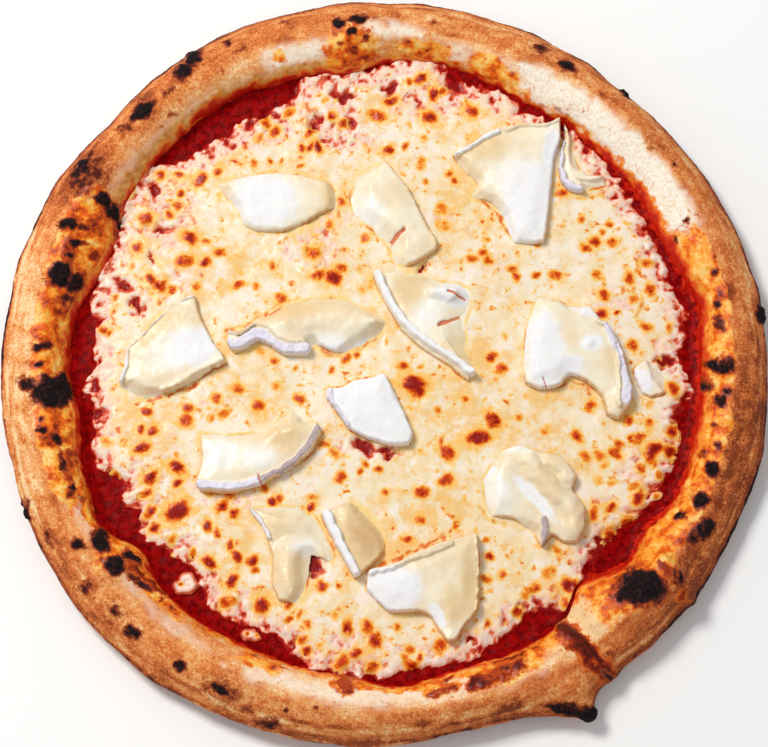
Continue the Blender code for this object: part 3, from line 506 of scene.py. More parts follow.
# ---------------------------------------------------------------- noise and shape helpers
def lattice_noise(points, size, seed):
    """Smooth noise in about -1..1 at the points, with features of that size."""
    rng = np.random.default_rng(seed)
    table = rng.permutation(NOISE_TABLE)
    table = np.concatenate([table, table, table])
    slopes = rng.normal(size=(NOISE_TABLE, 3))
    slopes /= np.linalg.norm(slopes, axis=1)[:, None]
    scaled = np.asarray(points, float) / size
    cell = np.floor(scaled).astype(int)
    part = scaled - cell
    fade = part**3 * (part * (part * 6 - 15) + 10)
    cell &= NOISE_TABLE - 1
    total = np.zeros(len(scaled))
    for corner in np.ndindex(2, 2, 2):
        i, j, k = corner
        entry = table[table[table[cell[:, 0] + i] + cell[:, 1] + j] + cell[:, 2] + k]
        weight = np.where(corner, fade, 1 - fade).prod(axis=1)
        total += weight * np.einsum("ij,ij->i", slopes[entry], part - corner)
    return total * NOISE_GAIN


def fractal(points, size, seed, octaves=3):
    """Noise with finer noises added, each of half the size and half the height."""
    total = np.zeros(len(points))
    for octave in range(octaves):
        total += 0.5**octave * lattice_noise(points, size / 2**octave, seed + octave)
    return total


def flat(x, y):
    """Points on the ground."""
    return np.stack([x, y, np.zeros(len(x))], axis=1)


def swayed(points, size, seeds):
    """A noise for x and one for y, which move a pattern's borders about."""
    return [lattice_noise(points, size, seed) for seed in seeds]


def cell_borders(x, y, size, seed):
    """Way from each point to the border of its uneven cell, of cells of about that size."""
    table = np.random.default_rng(seed).random((CELL_TABLE, CELL_TABLE, 3))
    column, row = np.floor(x / size).astype(int), np.floor(y / size).astype(int)
    first, second = np.full(len(x), np.inf), np.full(len(x), np.inf)
    for i in (-1, 0, 1):
        for j in (-1, 0, 1):
            seat = table[(column + i) % CELL_TABLE, (row + j) % CELL_TABLE]
            away = np.hypot((column + i + seat[:, 0]) * size - x, (row + j + seat[:, 1]) * size - y)
            second = np.where(away < first, first, np.minimum(second, away))
            first = np.minimum(first, away)
    return (second - first) / 2


def smooth(value, low, high):
    """Share of the way from low to high, eased at both ends."""
    t = np.clip((value - low) / (high - low), 0.0, 1.0)
    return t * t * (3 - 2 * t)


def from_side(angle, centre=0.0):
    """Angle from a centre, in -180..180."""
    return (angle - centre + 180.0) % 360.0 - 180.0


def bump(angle, centre, half_width):
    return np.exp(-((from_side(angle, centre) / half_width) ** 2))


def swollen(radius, swells, angle):
    return radius + sum(reach * bump(angle, centre, width) for centre, width, reach in swells)


def round_list(pairs, angle):
    """Value at an angle, between the pairs of angle and value."""
    angles, values = zip(*pairs)
    return np.interp(angle, angles, values, period=360.0)


def around(reach, angle):
    """Place on the ground at a reach and an angle."""
    turn = np.radians(angle)
    return reach * np.cos(turn), reach * np.sin(turn)


def ellipse_square(x, y, cx, cy, length, width, turn):
    """Squared distance from an ellipse's centre, 1 on the ellipse itself."""
    c, s = math.cos(math.radians(turn)), math.sin(math.radians(turn))
    return (((x - cx) * c + (y - cy) * s) / length) ** 2 + ((-(x - cx) * s + (y - cy) * c) / width) ** 2


def ellipses(x, y, shapes, power=2.0):
    """Strongest of the soft ellipses at each point: x, y, half length, half width, turn, strength."""
    best = np.zeros(len(x))
    for *shape, strength in shapes:
        best = np.maximum(best, strength * np.exp(-(ellipse_square(x, y, *shape) ** (power / 2))))
    return best


def scaled_ellipses(shapes, scale, strength):
    """The ellipses grown by a scale and given a strength."""
    return [(x, y, scale * length, scale * width, turn, strength) for x, y, length, width, turn in shapes]


def bands(angle, across, rows, soft):
    """Strongest of the soft arcs at each point: from and to angle, from and to across, strength."""
    best = np.zeros(len(angle))
    for start, end, low, high, strength in rows:
        half = (end - start) / 2
        along = smooth(np.abs(from_side(angle, start + half)), half + BAND_END, half - BAND_END)
        inside = smooth(across, low - soft, low + soft) * smooth(across, high + soft, high - soft)
        best = np.maximum(best, strength * along * inside)
    return best


def line_distance(x, y, line):
    """Distance of each point to a polyline."""
    best = np.full(len(x), np.inf)
    for (ax, ay), (bx, by) in zip(line[:-1], line[1:]):
        dx, dy = bx - ax, by - ay
        t = np.clip(((x - ax) * dx + (y - ay) * dy) / (dx * dx + dy * dy), 0.0, 1.0)
        best = np.minimum(best, np.hypot(x - ax - t * dx, y - ay - t * dy))
    return best


def highest(a, b, blend):
    """The higher of two heights, with a soft crossing."""
    return 0.5 * (a + b + np.sqrt((a - b) ** 2 + blend**2))


def outer_radius(angle):
    """Reach of the rim, with the torn flap, which falls off more slowly on its near side."""
    away = from_side(angle, FLAP_ANGLE)
    spread = FLAP_SPREAD * np.where(away < 0, 1.5, 0.8)
    return swollen(RIM_RADIUS, OUTER_SWELLS, angle) + FLAP_REACH * np.exp(-np.abs(away / spread) ** 1.5)


def foot_radius(angle):
    return swollen(FOOT_RADIUS, FOOT_SWELLS, angle)


def rim_height(angle):
    turn = np.radians(angle)
    return RIM_HEIGHT + sum(rise * np.sin(waves * turn + start) for rise, waves, start in RIM_WAVES)


def mozzarella_top(x, y):
    swell = np.sin(x / 11.0 + 0.8) * np.cos(y / 12.5) + 0.5 * np.sin((x + y) / 8.5)
    return MOZZARELLA_TOP + MOZZARELLA_SWELL * swell


def closed_curve(corners, count, crisp=0.0):
    """Anticlockwise points of the closed curve through corners. crisp, 0 to 1, straightens its sides."""
    corner = np.array(corners, float)
    size = len(corner)
    place = (1.0 - np.arange(count) / count) * size
    first = np.floor(place).astype(int) % size
    t = (place - np.floor(place))[:, None]
    p, q, r, s = (corner[(first + k) % size] for k in (-1, 0, 1, 2))
    square, cube = (2 * p - 5 * q + 4 * r - s) * t**2, (3 * q - p - 3 * r + s) * t**3
    curve = 0.5 * (2 * q + (r - p) * t + square + cube)
    return curve + crisp * (q + (r - q) * t - curve)


def ragged(edge, reach, size, seeds):
    """An outline moved about by noise of that reach and size."""
    return edge + reach * np.stack(swayed(flat(*edge.T), size, seeds), axis=1)


def smooth_curve(knots, values, places):
    """Smooth curve through the values at the knots, read at the places."""
    slope = np.gradient(values, knots)
    i = np.clip(np.searchsorted(knots, places, side="right") - 1, 0, len(knots) - 2)
    width = knots[i + 1] - knots[i]
    t = (places - knots[i]) / width
    return (
        (1 + 2 * t) * (1 - t) ** 2 * values[i]
        + t * (1 - t) ** 2 * width * slope[i]
        + t * t * (3 - 2 * t) * values[i + 1]
        + t * t * (t - 1) * width * slope[i + 1]
    )


# ---------------------------------------------------------------- mesh helpers
def add_piece(name, points, faces, masks, material, slot, *nodes):
    """A smooth mesh piece with a point attribute for each mask, in place of its CAD nodes."""
    mesh = bpy.data.meshes.new(name)
    mesh.from_pydata(((np.asarray(points) - MIDDLE) * MM).tolist(), [], faces)
    mesh.shade_smooth()
    for key, values in masks.items():
        attribute = mesh.attributes.new(key, "FLOAT", "POINT")
        attribute.data.foreach_set("value", np.ascontiguousarray(values, dtype=np.float32))
    mesh.materials.append(material)
    piece = bpy.data.objects.new(name, mesh)
    bpy.context.scene.collection.objects.link(piece)
    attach(piece, "root")
    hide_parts(*nodes)


def ring_faces(rings, steps):
    """Quads between rings of that many points, numbered ring by ring."""
    k = np.arange(rings - 1)[:, None] * steps
    i = np.arange(steps)[None, :]
    j = (i + 1) % steps
    return np.stack([k + i, k + j, k + steps + j, k + steps + i], axis=-1).reshape(-1, 4)


def ring_normals(points, rings, steps):
    """Outward direction at each point of a skin of rings, which faces up halfway along its section."""
    grid = points.reshape(rings, steps, 3)
    across = np.gradient(grid, axis=0)
    round_about = np.roll(grid, -1, axis=1) - np.roll(grid, 1, axis=1)
    normal = np.cross(round_about, across).reshape(-1, 3)
    normal /= np.linalg.norm(normal, axis=1)[:, None]
    return -normal if normal[steps * rings // 2][2] < 0 else normal


def grid_quads(columns, rows):
    """Quads of a grid of points, numbered column by column."""
    corner = (np.arange(columns - 1)[:, None] * rows + np.arange(rows - 1)[None, :]).ravel()
    return np.stack([corner, corner + rows, corner + rows + 1, corner + 1], axis=1)


def disc_grid(cells):
    """An even grid on the unit disc, turned from a square one: x, y and quads."""
    line = np.linspace(-1.0, 1.0, cells + 1)
    a, b = (axis.ravel() for axis in np.meshgrid(line, line, indexing="ij"))
    wide = np.abs(a) > np.abs(b)
    radius = np.where(wide, a, b)
    safe = np.where(radius == 0.0, 1.0, radius)
    angle = np.where(wide, (math.pi / 4) * b / safe, math.pi / 2 - (math.pi / 4) * a / safe)
    return radius * np.cos(angle), radius * np.sin(angle), grid_quads(cells + 1, cells + 1)


def polar_disc(cells, reach):
    """The even disc grid stretched to a reach by angle: x, y, radius, angle and quads."""
    unit_x, unit_y, quads = disc_grid(cells)
    angle = np.degrees(np.arctan2(unit_y, unit_x)) % 360.0
    share = np.hypot(unit_x, unit_y)
    edge = reach(angle)
    even = np.median(edge)
    radius = share * (even + (edge - even) * smooth(share, 0.5, 1.0))
    return *around(radius, angle), radius, angle, quads


def patch_grid(edge, step):
    """Square cells inside a closed outline, those at its border pulled onto it: x, y, depth and quads."""
    low, high = edge.min(axis=0) - 2 * step, edge.max(axis=0) + 2 * step
    columns, rows = np.arange(low[0], high[0], step), np.arange(low[1], high[1], step)
    x, y = (axis.ravel() for axis in np.meshgrid(columns, rows, indexing="ij"))
    depth, near_x, near_y = np.full(len(x), np.inf), x.copy(), y.copy()
    inside = np.zeros(len(x), bool)
    tiny = 1e-12
    for (ax, ay), (bx, by) in zip(edge, np.roll(edge, -1, axis=0)):
        dx, dy = bx - ax, by - ay
        t = np.clip(((x - ax) * dx + (y - ay) * dy) / (dx * dx + dy * dy + tiny), 0.0, 1.0)
        px, py = ax + t * dx, ay + t * dy
        away = np.hypot(x - px, y - py)
        closer = away < depth
        depth[closer], near_x[closer], near_y[closer] = away[closer], px[closer], py[closer]
        inside ^= ((ay > y) != (by > y)) & (x < dx * (y - ay) / (dy + tiny) + ax)
    at_border = depth < 0.5 * step
    kept = inside | at_border
    x, y = np.where(at_border, near_x, x), np.where(at_border, near_y, y)
    depth = np.where(at_border, 0.0, depth)
    quads = grid_quads(len(columns), len(rows))
    quads = quads[kept[quads].all(axis=1)]
    used, quads = np.unique(quads, return_inverse=True)
    return x[used], y[used], depth[used], quads.reshape(-1, 4)


def close_below(points, masks, quads, bottom):
    """Closes a sheet of quads with a wall round its border, down to the bottom, and an underside."""
    pairs = np.concatenate([quads[:, [k, (k + 1) % 4]] for k in range(4)])
    count = len(points)
    border = pairs[~np.isin(pairs[:, 0] * count + pairs[:, 1], pairs[:, 1] * count + pairs[:, 0])]
    follows = dict(border.tolist())
    loop = [border[0, 0]]
    while follows[loop[-1]] != loop[0]:
        loop.append(follows[loop[-1]])
    assert len(loop) == len(border), "the border must be one loop"
    low = np.column_stack([points[loop, :2], np.minimum(bottom[loop], points[loop, 2] - 0.05)])
    faces = quads.tolist()
    for k, here in enumerate(loop):
        n = (k + 1) % len(loop)
        faces.append([loop[n], here, count + k, count + n])
    faces.append([count + k for k in range(len(loop))][::-1])
    masks = {key: np.concatenate([value, value[loop]]) for key, value in masks.items()}
    return np.concatenate([points, low]), masks, faces, len(loop)


# ---------------------------------------------------------------- materials
def linear(colour):
    """Linear RGBA of an sRGB colour."""
    parts = [c / 255.0 for c in colour]
    return tuple(c / 12.92 if c <= 0.04045 else ((c + 0.055) / 1.055) ** 2.4 for c in parts) + (1.0,)


class Shade:
    """A small builder for one node material."""

    def __init__(self, name):
        self.material = bpy.data.materials.new(name)
        self.material.use_nodes = True
        self.tree = self.material.node_tree
        self.shader = self.tree.nodes["Principled BSDF"]
        self.place = self.tree.nodes.new("ShaderNodeTexCoord").outputs["Object"]

    def node(self, kind, **values):
        made = self.tree.nodes.new(kind)
        for key, value in values.items():
            setattr(made, key, value)
        return made

    def feed(self, socket, value):
        if isinstance(value, bpy.types.NodeSocket):
            self.tree.links.new(value, socket)
        else:
            socket.default_value = value

    def feed_all(self, node, values):
        for key, value in values.items():
            self.feed(node.inputs[key], value)

    def set(self, name, value):
        self.feed(self.shader.inputs[name], value)

    def mask(self, name):
        return self.node("ShaderNodeAttribute", attribute_name=name).outputs["Fac"]

    def noise(self, size, detail=3.0, roughness=0.55, shift=0.0):
        """Noise with features of about that size in mm."""
        mapping = self.node("ShaderNodeMapping")
        self.feed_all(mapping, {"Location": (shift, shift * 0.7, shift * 1.3), "Vector": self.place})
        noise = self.node("ShaderNodeTexNoise")
        finish = {"Scale": 1 / (size * MM), "Detail": detail, "Roughness": roughness}
        self.feed_all(noise, {"Vector": mapping.outputs["Vector"], **finish})
        return noise.outputs["Fac"]

    def span(self, value, low, high, to_low=0.0, to_high=1.0):
        """Value from low..high mapped smoothly to to_low..to_high."""
        ranged = self.node("ShaderNodeMapRange", interpolation_type="SMOOTHSTEP")
        ends = {"From Min": low, "From Max": high, "To Min": to_low, "To Max": to_high}
        self.feed_all(ranged, {"Value": value, **ends})
        return ranged.outputs["Result"]

    def math(self, operation, a, b=0.0):
        made = self.node("ShaderNodeMath", operation=operation)
        self.feed(made.inputs[0], a)
        self.feed(made.inputs[1], b)
        return made.outputs[0]

    def plus(self, a, b):
        return self.math("ADD", a, b)

    def minus(self, a, b):
        return self.math("SUBTRACT", a, b)

    def times(self, a, b):
        return self.math("MULTIPLY", a, b)

    def stirred(self, value, *noises):
        """Value moved up and down by noises, each given with its spread."""
        for noise, spread in noises:
            value = self.plus(value, self.times(self.minus(noise, 0.5), spread))
        return value

    def mix(self, factor, a, b):
        made = self.node("ShaderNodeMix", data_type="RGBA")
        self.feed(made.inputs[0], factor)
        self.feed(made.inputs[6], linear(a) if isinstance(a, tuple) else a)
        self.feed(made.inputs[7], linear(b) if isinstance(b, tuple) else b)
        return made.outputs[2]

    def ramp(self, value, *steps):
        """Colour along a value. Each step is a place and a colour, blended smoothly to the next."""
        colour = steps[0][1]
        for (low, _), (high, shade) in zip(steps[:-1], steps[1:]):
            colour = self.mix(self.span(value, low, high), colour, shade)
        return colour

    def bumps(self, *heights):
        """Chains bumps: each is a height socket, its strength and its depth in mm."""
        normal = None
        for height, strength, depth in heights:
            made = self.node("ShaderNodeBump")
            self.feed_all(made, {"Strength": strength, "Distance": depth * MM, "Height": height})
            if normal is not None:
                self.feed(made.inputs["Normal"], normal)
            normal = made.outputs["Normal"]
        self.set("Normal", normal)

    def glow(self, weight, radius, scale):
        """Light under the surface: its weight, its red, green and blue reach, and their scale."""
        self.set("Subsurface Weight", weight)
        self.set("Subsurface Radius", radius)
        self.set("Subsurface Scale", scale * MM)


def crust_material():
    s = Shade("baked_crust_look")
    broad = s.noise(22, 3.0, 0.6)
    patch = s.noise(7, 4.0, 0.6, 3.0)
    blotch = s.noise(3.4, 4.0, 0.65, 4.0)
    grain = s.noise(1.3, 4.0, 0.7, 5.0)
    speck = s.noise(0.6, 2.0, 0.5, 8.0)

    tone = s.stirred(s.mask("tone"), (broad, 0.6), (patch, 0.8), (blotch, 0.8), (grain, 1.2), (speck, 1.0))
    colour = s.ramp(s.plus(tone, s.times(s.mask("streak"), 0.22)), *DOUGH_TONES)
    colour = s.mix(s.span(grain, 0.6, 0.74, 0.0, 0.5), colour, (122, 56, 28))
    colour = s.mix(s.span(grain, 0.4, 0.28, 0.0, 0.5), colour, (255, 226, 186))
    flour = s.span(s.stirred(s.mask("flour"), (patch, 0.6), (blotch, 0.5), (grain, 0.6)), 0.1, 0.95)
    colour = s.mix(flour, colour, s.mix(s.span(grain, 0.44, 0.66), (255, 248, 234), (246, 218, 184)))
    ochre = s.span(s.stirred(s.mask("ochre"), (patch, 0.4), (grain, 0.3)), 0.1, 1.0)
    colour = s.mix(ochre, colour, s.mix(s.span(blotch, 0.4, 0.62), (238, 182, 104), (204, 134, 52)))

    glaze = s.span(s.stirred(s.mask("glaze"), (patch, 0.8), (blotch, 0.5), (grain, 0.3)), 0.2, 0.65)
    deep = s.times(s.math("MAXIMUM", s.minus(s.mask("glaze"), 1.0), 0.0), 0.2)
    oily = s.stirred(s.plus(s.noise(6.0, 3.0, 0.6, 11.0), deep), (grain, 0.1), (blotch, 0.14))
    colour = s.mix(glaze, colour, s.ramp(oily, *OILY_TONES))
    red = s.stirred(s.mask("red"), (patch, 0.5), (blotch, 0.8), (grain, 0.3))
    colour = s.ramp(red, (0.05, colour), *SOAKED_TONES)
    scab = s.stirred(s.mask("scab"), (patch, 0.8), (blotch, 1.4), (grain, 0.9))
    colour = s.ramp(scab, (0.26, colour), *SCAB_TONES)

    scorch = s.stirred(s.mask("scorch"), (patch, 0.7), (blotch, 1.2), (grain, 0.7), (speck, 0.2))
    colour = s.mix(s.span(scorch, 0.14, 0.56), colour, s.mix(glaze, (172, 82, 38), (196, 74, 20)))
    colour = s.mix(s.span(scorch, 0.46, 0.76), colour, (98, 34, 20))
    burnt = s.mix(s.span(grain, 0.46, 0.7), (18, 12, 16), (64, 34, 32))
    colour = s.mix(s.span(scorch, 0.74, 1.02), colour, burnt)
    s.set("Base Color", colour)

    wet = s.math("MAXIMUM", glaze, s.span(red, 0.3, 0.8))
    dry = s.span(scorch, 0.6, 0.95)
    s.set("Roughness", s.math("MAXIMUM", s.minus(0.85, s.times(wet, 0.58)), dry))
    s.set("Specular IOR Level", 0.2)
    rough = s.minus(s.minus(1.0, s.times(flour, 0.45)), s.times(glaze, 0.5))
    s.bumps(
        (patch, 0.35, 1.2),
        (blotch, 0.5, 0.7),
        (s.times(grain, rough), 0.8, 0.45),
        (s.times(speck, rough), 0.7, 0.25),
    )
    return s.material


def sauce_material():
    s = Shade("tomato_sauce_look")
    pulp = s.noise(3.0, 4.0, 0.6)
    fleck = s.noise(1.0, 3.0, 0.6, 4.0)
    colour = s.mix(s.span(pulp, 0.38, 0.62), (106, 0, 3), (152, 5, 5))
    colour = s.mix(s.span(fleck, 0.58, 0.72, 0.0, 0.4), colour, (196, 32, 18))
    # Brighter red-orange where the sauce climbs the crust on the right: partly the colour of thin sauce,
    # partly painted light on the slope that faces the light.
    bright = s.stirred(s.mask("bright"), (pulp, 2.2), (fleck, 0.8))
    s.set("Base Color", s.mix(s.span(bright, 0.5, 1.2), colour, (212, 40, 14)))
    s.set("Roughness", s.span(pulp, 0.3, 0.7, 0.2, 0.36))
    s.set("Specular IOR Level", 0.025)
    s.bumps((pulp, 0.4, 1.0), (fleck, 0.4, 0.4))
    return s.material


def mozzarella_material():
    s = Shade("melted_mozzarella_look")
    broad = s.noise(24, 2.0, 0.5)
    patch = s.noise(7, 4.0, 0.6, 2.0)
    small = s.noise(2.6, 4.0, 0.62, 6.0)
    fine = s.noise(0.9, 3.0, 0.6, 9.0)

    tone = s.plus(s.times(broad, 0.5), s.times(patch, 0.5))
    colour = s.ramp(s.stirred(tone, (small, 0.25)), *CHEESE_TONES)
    colour = s.mix(s.span(patch, 0.44, 0.34, 0.0, 0.7), colour, (250, 234, 222))
    vein = s.math("ABSOLUTE", s.minus(s.noise(6.5, 2.0, 0.5, 14.0), 0.5))
    veined = s.span(s.noise(11, 2.0, 0.5, 17.0), 0.48, 0.62, 0.0, 0.45)
    vein = s.times(s.span(vein, 0.02, 0.004), veined)
    colour = s.mix(vein, colour, (238, 158, 96))
    blush = s.plus(s.noise(3.6, 2.0, 0.5, 21.0), s.times(s.mask("blush"), 0.2))
    colour = s.ramp(s.stirred(blush, (fine, 0.3), (patch, 0.4)), (0.62, colour), *BLUSH_TONES)
    curd = s.span(s.stirred(s.mask("curd"), (small, 0.5)), 0.1, 0.8)
    curd_tone = s.mix(s.span(fine, 0.42, 0.66), (248, 237, 228), (238, 212, 202))
    colour = s.mix(s.times(curd, 0.85), colour, curd_tone)

    thin = s.stirred(s.mask("thin"), (small, 0.4), (fine, 0.25))
    colour = s.ramp(thin, (0.05, colour), *THIN_TONES)
    oil = s.stirred(s.mask("oil"), (small, 0.5), (fine, 0.2))
    colour = s.ramp(oil, (0.1, colour), *OIL_TONES)
    spot = s.times(s.mask("spot"), s.stirred(1.0, (small, 2.0), (fine, 0.9), (patch, 1.2)))
    colour = s.ramp(spot, (0.08, colour), *SPOT_TONES)
    red = s.span(s.stirred(s.mask("red"), (small, 0.4), (fine, 0.3)), 0.3, 0.8)
    s.set("Base Color", s.mix(red, colour, (140, 6, 5)))
    s.set("Roughness", s.span(small, 0.3, 0.7, 0.22, 0.4))
    s.set("Specular IOR Level", 0.17)
    s.glow(0.12, (1.0, 0.6, 0.35), 1.2)
    s.bumps((patch, 0.2, 1.0), (small, 0.22, 0.6), (fine, 0.16, 0.22))
    return s.material


def goat_cheese_material():
    s = Shade("goat_cheese_look")
    broad = s.noise(15, 2.0, 0.5)
    small = s.noise(2.8, 3.0, 0.6, 4.0)
    fine = s.noise(0.8, 3.0, 0.6, 7.0)

    colour = s.mix(s.span(s.stirred(broad, (small, 0.3)), 0.4, 0.62), (248, 237, 212), (243, 224, 190))
    colour = s.ramp(s.stirred(s.mask("tan"), (small, 0.5)), (0.0, colour), *TAN_TONES)
    colour = s.mix(s.span(s.stirred(s.mask("pale"), (small, 0.4)), 0.1, 1.0), colour, (253, 249, 241))
    white = s.span(s.stirred(s.mask("white"), (small, 0.6), (fine, 0.4)), 0.15, 0.7)
    # Painted shade on the rind: a cool violet-white tint on the lilac bands, a darker dull mauve on the grey
    # bands.
    rind = s.mix(s.span(s.mask("lilac_shade"), 0.2, 0.8), (247, 247, 249), (232, 228, 242))
    rind = s.mix(s.span(s.stirred(s.mask("grey_shade"), (small, 0.6)), 0.2, 0.9), rind, (188, 170, 172))
    colour = s.mix(white, colour, s.mix(s.span(fine, 0.52, 0.7, 0.0, 0.5), rind, (226, 216, 216)))

    rim = s.span(s.stirred(s.mask("rim"), (small, 0.8)), 0.4, 0.9)
    colour = s.mix(s.times(rim, 0.6), colour, (226, 172, 100))
    foot = s.span(s.stirred(s.mask("foot"), (small, 0.5)), 0.35, 0.8)
    colour = s.mix(s.times(foot, 0.85), colour, (222, 140, 70))
    oil = s.span(s.stirred(s.mask("oil"), (small, 0.4)), 0.35, 0.7)
    s.set("Base Color", s.mix(s.times(oil, 0.85), colour, (216, 108, 52)))
    s.set("Roughness", s.plus(0.32, s.times(white, 0.45)))
    s.set("Specular IOR Level", 0.4)
    s.glow(0.3, (1.0, 0.8, 0.6), 2.0)
    s.bumps((small, 0.2, 0.6), (s.times(fine, s.plus(0.3, white)), 0.5, 0.25))
    return s.material


def floor_material():
    s = Shade("pale_floor_look")
    s.set("Base Color", s.mix(s.span(s.noise(400, 2.0), 0.3, 0.7), (252, 252, 252), (255, 255, 255)))
    s.set("Roughness", 0.7)
    return s.material


# ---------------------------------------------------------------- crust
def crust_shell():
    """The bare crust, ring by ring from foot to base, and where its points are seen."""
    section = np.array(CRUST_SECTION)
    knots = np.concatenate([[0.0], np.cumsum(np.hypot(*np.diff(section, axis=0).T))])
    place = knots[-1] * np.linspace(0.0, 1.0, CRUST_RINGS)
    ring_radius = smooth_curve(knots, section[:, 0], place)
    ring_height = smooth_curve(knots, section[:, 1], place)
    ring_height[0], ring_height[-1] = BASE_THICKNESS, 0.0

    angle = np.tile(np.arange(CRUST_STEPS) * 360.0 / CRUST_STEPS, CRUST_RINGS)
    ring = np.repeat(np.arange(CRUST_RINGS), CRUST_STEPS)
    radius, z = ring_radius[ring], ring_height[ring]
    foot, outer = foot_radius(angle), outer_radius(angle)
    reach = np.where(
        radius <= CREST_RADIUS,
        foot + (radius - FOOT_RADIUS) * (CREST_RADIUS - foot) / (CREST_RADIUS - FOOT_RADIUS),
        CREST_RADIUS + (radius - CREST_RADIUS) * (outer - CREST_RADIUS) / (RIM_RADIUS - CREST_RADIUS),
    )
    x, y = around(reach, angle)
    lift = sum(rise * np.exp(-((x - cx) ** 2 + (y - cy) ** 2) / size**2) for cx, cy, size, rise in BUBBLES)
    crease = CREASE_DEPTH * bump(angle, CREASE_ANGLE, CREASE_SPREAD)
    on_skin = (ring > 0) & (ring < CRUST_RINGS - 1)
    z = np.where(on_skin, z / RIM_HEIGHT * (rim_height(angle) + lift - crease), z)

    points = np.stack([x, y, z], axis=1)
    above = z - SEEN_LEVEL
    sway = [2.2 * fractal(points, 6.0, seed) for seed in (40, 44)]
    return SimpleNamespace(
        points=points, z=z, angle=angle, reach=reach, foot=foot, outer=outer, inner=radius < CREST_RADIUS,
        seen_x=x * (1 + SEEN_SCALE * above), seen_y=y * (1 + SEEN_SCALE * above) + SEEN_LEAN * above,
        sway_x=sway[0], sway_y=sway[1],
    )


def crust_marks(shell):
    """Masks of the crust's marks: burnt, glazed, ochre, scabbed, floury and soaked with sauce."""
    z, angle, reach, foot = shell.z, shell.angle, shell.reach, shell.foot
    x, y = shell.seen_x + shell.sway_x, shell.seen_y + shell.sway_y
    burn_x, burn_y = shell.seen_x + 0.6 * shell.sway_x, shell.seen_y + 0.6 * shell.sway_y
    scorch = ellipses(burn_x, burn_y, SCORCHES, 2.6) * (z > 7.5)
    scorch *= 1.0 + 0.4 * fractal(shell.points, 5.0, 33) + 0.25 * lattice_noise(shell.points, 1.6, 36)
    climb = (reach + shell.sway_x - foot) / (CREST_RADIUS - foot)
    turned = angle + 1.2 * shell.sway_y
    glaze = np.maximum(bands(turned, climb, GLAZE_BANDS, 0.1), ellipses(x, y, GLAZE_SPOTS, 2.4)) * (z > 4)
    ochre = bands(turned, climb, OCHRE_BANDS, 0.18) * (z > 4)
    scab = np.zeros(len(z))
    for half, strength, line in SCABS:
        scab = np.maximum(scab, strength * np.exp(-((line_distance(x, y, line) / half) ** 2)))
    flour = bands(turned, np.hypot(x, y), FLOUR_BANDS, 4.0) * (z > 7)

    side = from_side(angle)
    soak = 1.2 + 2.6 * smooth(side, -34, -6) * smooth(side, 44, 28)
    soak += 1.2 * smooth(angle, 150, 165) * smooth(angle, 205, 190)
    soak += 3.5 * bump(angle, 314, 7) - 0.8 * smooth(side, 38, 50) * smooth(side, 104, 92)
    red = smooth(reach + 0.7 * shell.sway_x, foot + soak + 2.0, foot + 0.3 * soak) * (z > 3) * shell.inner
    return {"scorch": scorch, "glaze": glaze, "ochre": ochre, "scab": scab, "flour": flour, "red": red}


def crust_skin(shell, marks, streak):
    """The crust's points with their wrinkles, blisters at the marks, ridges and folds."""
    points, z, scorch = shell.points, shell.z, marks["scorch"]
    relief = 0.7 * fractal(points, 17.0, 10, 2) + 0.2 * streak + 0.16 * fractal(points, 2.4, 16)
    relief += smooth(scorch, 0.8, 1.4) * (0.45 + 0.7 * np.abs(fractal(points, 2.6, 20)))
    relief += smooth(marks["glaze"], 0.3, 0.9) * 0.6 * np.abs(fractal(points, 4.6, 24))
    relief += 0.6 * smooth(marks["scab"], 0.4, 1.0)
    relief += smooth(scorch, 0.7, 1.3) * smooth(shell.reach, 154, 158) * 0.7
    for half, rise, line in RIDGES:
        away = line_distance(shell.seen_x, shell.seen_y, line) / half
        relief += rise * np.exp(-(away**2)) * smooth(z, 5.0, 10.0)
    outward = ring_normals(points, CRUST_RINGS, CRUST_STEPS) * (smooth(z, 0.8, 5.0) * relief)[:, None]
    points = points + outward
    height = np.maximum(points[:, 2], 0.0)
    points[:, 2] = np.minimum(height, SKIN_CEILING) + 0.45 * np.maximum(height - SKIN_CEILING, 0.0)
    return points


def crust_tone(shell, skin, streak):
    """How toasted the crust is, with some painted shade: its pale and brown stretches, its edge and
    scattered mottles.
    """
    x, y, reach, outer = shell.seen_x + shell.sway_x, shell.seen_y + shell.sway_y, shell.reach, shell.outer
    # On the outer side the tone is partly painted shade, darker at the right and lower right, away from the
    # light.
    tone_and_shade_out, tone_in = round_list(OUTER_TONE_AND_SHADE, shell.angle), round_list(INNER_TONE, shell.angle)
    tone = tone_in + (tone_and_shade_out - tone_in) * smooth(reach + 0.8 * shell.sway_x, 143, 150)
    # Darker towards the rim's outer edge, on its steep side: partly browning, partly painted shade.
    tone += 0.4 * smooth(reach, outer - 3.2, outer - 0.6) * (0.75 + 0.8 * lattice_noise(skin, 16.0, 28))
    tone += 0.3 * streak * smooth(reach, outer - 9.0, outer - 4.0)
    rng = np.random.default_rng(11)
    for _ in range(CRUST_MOTTLES):
        way, far = rng.uniform(0, math.tau), rng.uniform(147, 160)
        length, width = rng.uniform(1.5, 5.0), rng.uniform(1.0, 2.6)
        cx, cy = far * math.cos(way), far * math.sin(way)
        near = np.abs(x - cx) + np.abs(y - cy) < 20.0
        q = ellipse_square(x[near], y[near], cx, cy, length, width, math.degrees(way) + 90)
        tone[near] += rng.uniform(0.1, 0.45) * np.exp(-q)
    return tone


